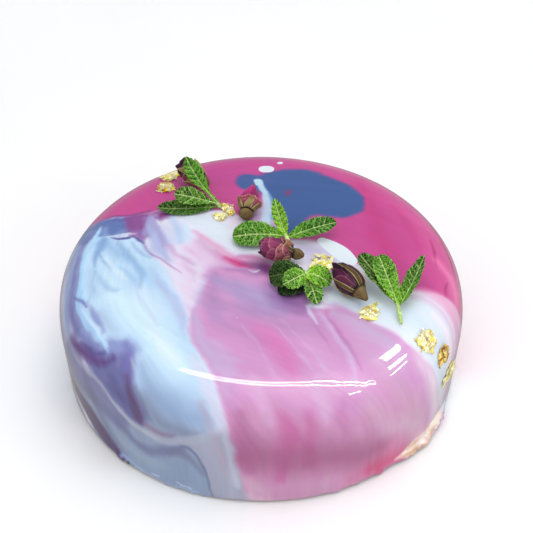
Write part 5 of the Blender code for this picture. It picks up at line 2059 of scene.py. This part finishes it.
def gold_leaf(material):
    """All scraps of gold leaf in one object."""
    points, browns, faces = [], [], []
    for number in range(len(GOLD_SCRAPS)):
        for layer in range(len(FOIL_SIZES)):
            foil_sheet(number, layer, points, browns, faces)
    obj = mesh_object("gold_leaf", [tuple(point) for point in points], faces, material)
    store_number(obj, "amber", browns)
    obj.data.shade_flat()
    shell = obj.modifiers.new("thickness", "SOLIDIFY")
    shell.thickness = FOIL_THICKNESS * MM
    shell.offset = 1.0
    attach(obj, "root")
    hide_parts("glazed_cake")


# Floor, light and camera. Places and sizes of lights and of the camera are in metres.

FLOOR_WHITE = (252, 252, 253)
PURE_WHITE = (255, 255, 255)
FLOOR_REACH = 6000.0
FLOOR_SINK = 0.2


def square(reach, height):
    """Corners of a level square round the middle."""
    return [(x * reach, y * reach, height) for x, y in ((-1, -1), (1, -1), (1, 1), (-1, 1))]


def floor():
    """A plain pale table with a faint unevenness of tone."""
    tree = NodeTree("pale_floor")
    soft = tree.noise(tree.place(), 6.0, 2.0)
    tone = tree.mix(tree.remap(soft, 0.3, 0.7), FLOOR_WHITE, PURE_WHITE)
    tree.set(Roughness=0.9, Specular_IOR_Level=0.05)
    obj = mesh_object("floor", square(FLOOR_REACH, 0), [(0, 1, 2, 3)], tree.finish(tone))
    obj.location.z = -FLOOR_SINK * MM


WORLD_GLOW = 0.455
WORLD_TINT = (0.97, 0.985, 1.0, 1.0)
HORIZON_SHARE = 0.85
OVERHEAD_SHARE = 1.1


def soft_world():
    """Even pale light from all round, a little dimmer towards the horizon."""
    world = bpy.data.worlds.new("soft_room")
    world.use_nodes = True
    nodes, links = world.node_tree.nodes, world.node_tree.links
    place = nodes.new("ShaderNodeTexCoord")
    parts = nodes.new("ShaderNodeSeparateXYZ")
    ramp = nodes.new("ShaderNodeMapRange")
    ramp.inputs["From Min"].default_value = -0.1
    ramp.inputs["From Max"].default_value = 1.0
    ramp.inputs["To Min"].default_value = WORLD_GLOW * HORIZON_SHARE
    ramp.inputs["To Max"].default_value = WORLD_GLOW * OVERHEAD_SHARE
    links.new(place.outputs["Generated"], parts.inputs["Vector"])
    links.new(parts.outputs["Z"], ramp.inputs["Value"])
    links.new(ramp.outputs["Result"], nodes["Background"].inputs["Strength"])
    nodes["Background"].inputs["Color"].default_value = WORLD_TINT
    bpy.context.scene.world = world


# Each softbox: name, place, side and watts.
SOFTBOXES = [
    ("key_softbox", (0.5, 0.55, 1.7), 1.2, 7.0),
    ("top_softbox", (0.1, -0.55, 1.85), 1.6, 12.5),
    ("fill_softbox", (-1.2, -0.9, 1.3), 1.4, 7.2),
    ("side_softbox", (1.2, -0.8, 0.7), 0.9, 5.6),
]
SOFTBOX_AIM = (0, 0, 0.04)


def softbox(name, place, side, watts):
    """A large square area light that looks at the cake and isn't mirrored by it."""
    light = bpy.data.lights.new(name, "AREA")
    light.shape = "SQUARE"
    light.size = side
    light.energy = watts
    obj = bpy.data.objects.new(name, light)
    bpy.context.scene.collection.objects.link(obj)
    obj.location = place
    aim = Vector(SOFTBOX_AIM) - Vector(place)
    obj.rotation_euler = aim.to_track_quat("-Z", "Y").to_euler()
    obj.visible_glossy = False
    obj.visible_camera = False


GLOW_TINT = (1.0, 0.99, 0.97, 1.0)


def glow_sheet(name, corners, strength):
    """A lit sheet that shows only where the glaze mirrors it."""
    material = bpy.data.materials.new(name)
    material.use_nodes = True
    nodes, links = material.node_tree.nodes, material.node_tree.links
    nodes.remove(nodes["Principled BSDF"])
    glow = nodes.new("ShaderNodeEmission")
    glow.inputs["Strength"].default_value = strength
    glow.inputs["Color"].default_value = GLOW_TINT
    links.new(glow.outputs["Emission"], nodes["Material Output"].inputs["Surface"])
    mesh = bpy.data.meshes.new(name)
    mesh.from_pydata(corners, [], [tuple(range(len(corners)))])
    mesh.materials.append(material)
    obj = bpy.data.objects.new(name, mesh)
    bpy.context.scene.collection.objects.link(obj)
    obj.visible_camera = False
    obj.visible_diffuse = False
    obj.visible_shadow = False


TABLE_CARD_REACH = 0.8
TABLE_CARD_LEVEL = 0.0003
TABLE_CARD_GLOW = 0.38


def table_card():
    """A dim card on the table, mirrored in place of it, so that the wall keeps its colours."""
    glow_sheet("table_card", square(TABLE_CARD_REACH, TABLE_CARD_LEVEL), TABLE_CARD_GLOW)


# Lit shapes under the ceiling, by their corners seen from above: a pair of tubes along a path
# with a gap that narrows, a short strip beside their far end, and three panels.
CEILING = 1.5
TUBE_PATH = [(-0.5, 0.27), (1.3, -0.83), (3.1, -1.78)]
TUBE_GAPS = [0.08, 0.064, 0.052]
TUBE_WIDTH = 0.036
TUBE_GLOW = 48.0
STRIP = [(1.93, -1.93), (1.97, -1.83), (2.9, -2.06), (2.88, -2.2)]
PANELS = [
    [(0.99, 0.13), (1.10, 0.45), (1.51, 0.23), (1.36, -0.06)],
    [(1.90, -0.42), (2.26, 0.02), (2.72, -0.18), (2.40, -0.66)],
    [(3.66, -1.26), (3.50, -0.42), (3.98, -0.54), (4.26, -1.50)],
]
PANEL_GLOW = 34.0


def ceiling_light(name, outline, strength):
    """A lit shape under the ceiling, from its corners seen from above."""
    glow_sheet(name, [(x, y, CEILING) for x, y in outline], strength)


def tube_outline(side):
    """Corners of the tube on this side of the path, -1 or 1, seen from above."""
    along = (Vector(TUBE_PATH[-1]) - Vector(TUBE_PATH[0])).normalized()
    aside = Vector((-along.y, along.x))
    spots = [(Vector(spot), side * gap) for spot, gap in zip(TUBE_PATH, TUBE_GAPS)]
    there = [spot + aside * (away - TUBE_WIDTH / 2) for spot, away in spots]
    back = [spot + aside * (away + TUBE_WIDTH / 2) for spot, away in spots]
    return there + back[::-1]


def light_scene():
    """Soft light from all round, and the lit shapes that the glaze mirrors."""
    soft_world()
    for name, place, side, watts in SOFTBOXES:
        softbox(name, place, side, watts)
    for number, side in enumerate((-1, 1)):
        ceiling_light(f"ceiling_tube_{number}", tube_outline(side), TUBE_GLOW)
    ceiling_light("ceiling_lamp", STRIP, TUBE_GLOW)
    for number, panel in enumerate(PANELS):
        ceiling_light(f"ceiling_panel_{number}", panel, PANEL_GLOW)
    table_card()


CAMERA_PLACE = (0.0025, -0.381, 0.3725)
CAMERA_TILT = 50.0
NEAREST_SEEN = 0.01
SENSOR_WIDTH = 36.0
FOCAL_PIXELS = 1130.0
PICTURE_PIXELS = 533.0


def place_camera():
    """A camera in front of the cake that looks down at it; the tilt is up from straight down."""
    camera = bpy.data.cameras.new("camera")
    camera.sensor_width = SENSOR_WIDTH
    camera.lens = FOCAL_PIXELS / PICTURE_PIXELS * SENSOR_WIDTH
    camera.clip_start = NEAREST_SEEN
    obj = bpy.data.objects.new("camera", camera)
    bpy.context.scene.collection.objects.link(obj)
    obj.location = CAMERA_PLACE
    obj.rotation_euler = (math.radians(CAMERA_TILT), 0, 0)
    bpy.context.scene.camera = obj


def build():
    """The cake with its dressing, on its table, lit and framed."""
    glaze(glaze_material())
    gold_leaf(gold_material())
    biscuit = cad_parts["biscuit_base"]
    biscuit.material_slots[0].material = biscuit_material()
    mint = leaf_material()
    for sprig in SPRIGS:
        mint_sprig(sprig, mint)
    rose = rose_material()
    for bud in BUDS:
        rosebud(bud, rose)
    floor()
    light_scene()
    place_camera()
    bpy.context.scene.view_settings.view_transform = "Standard"


build()
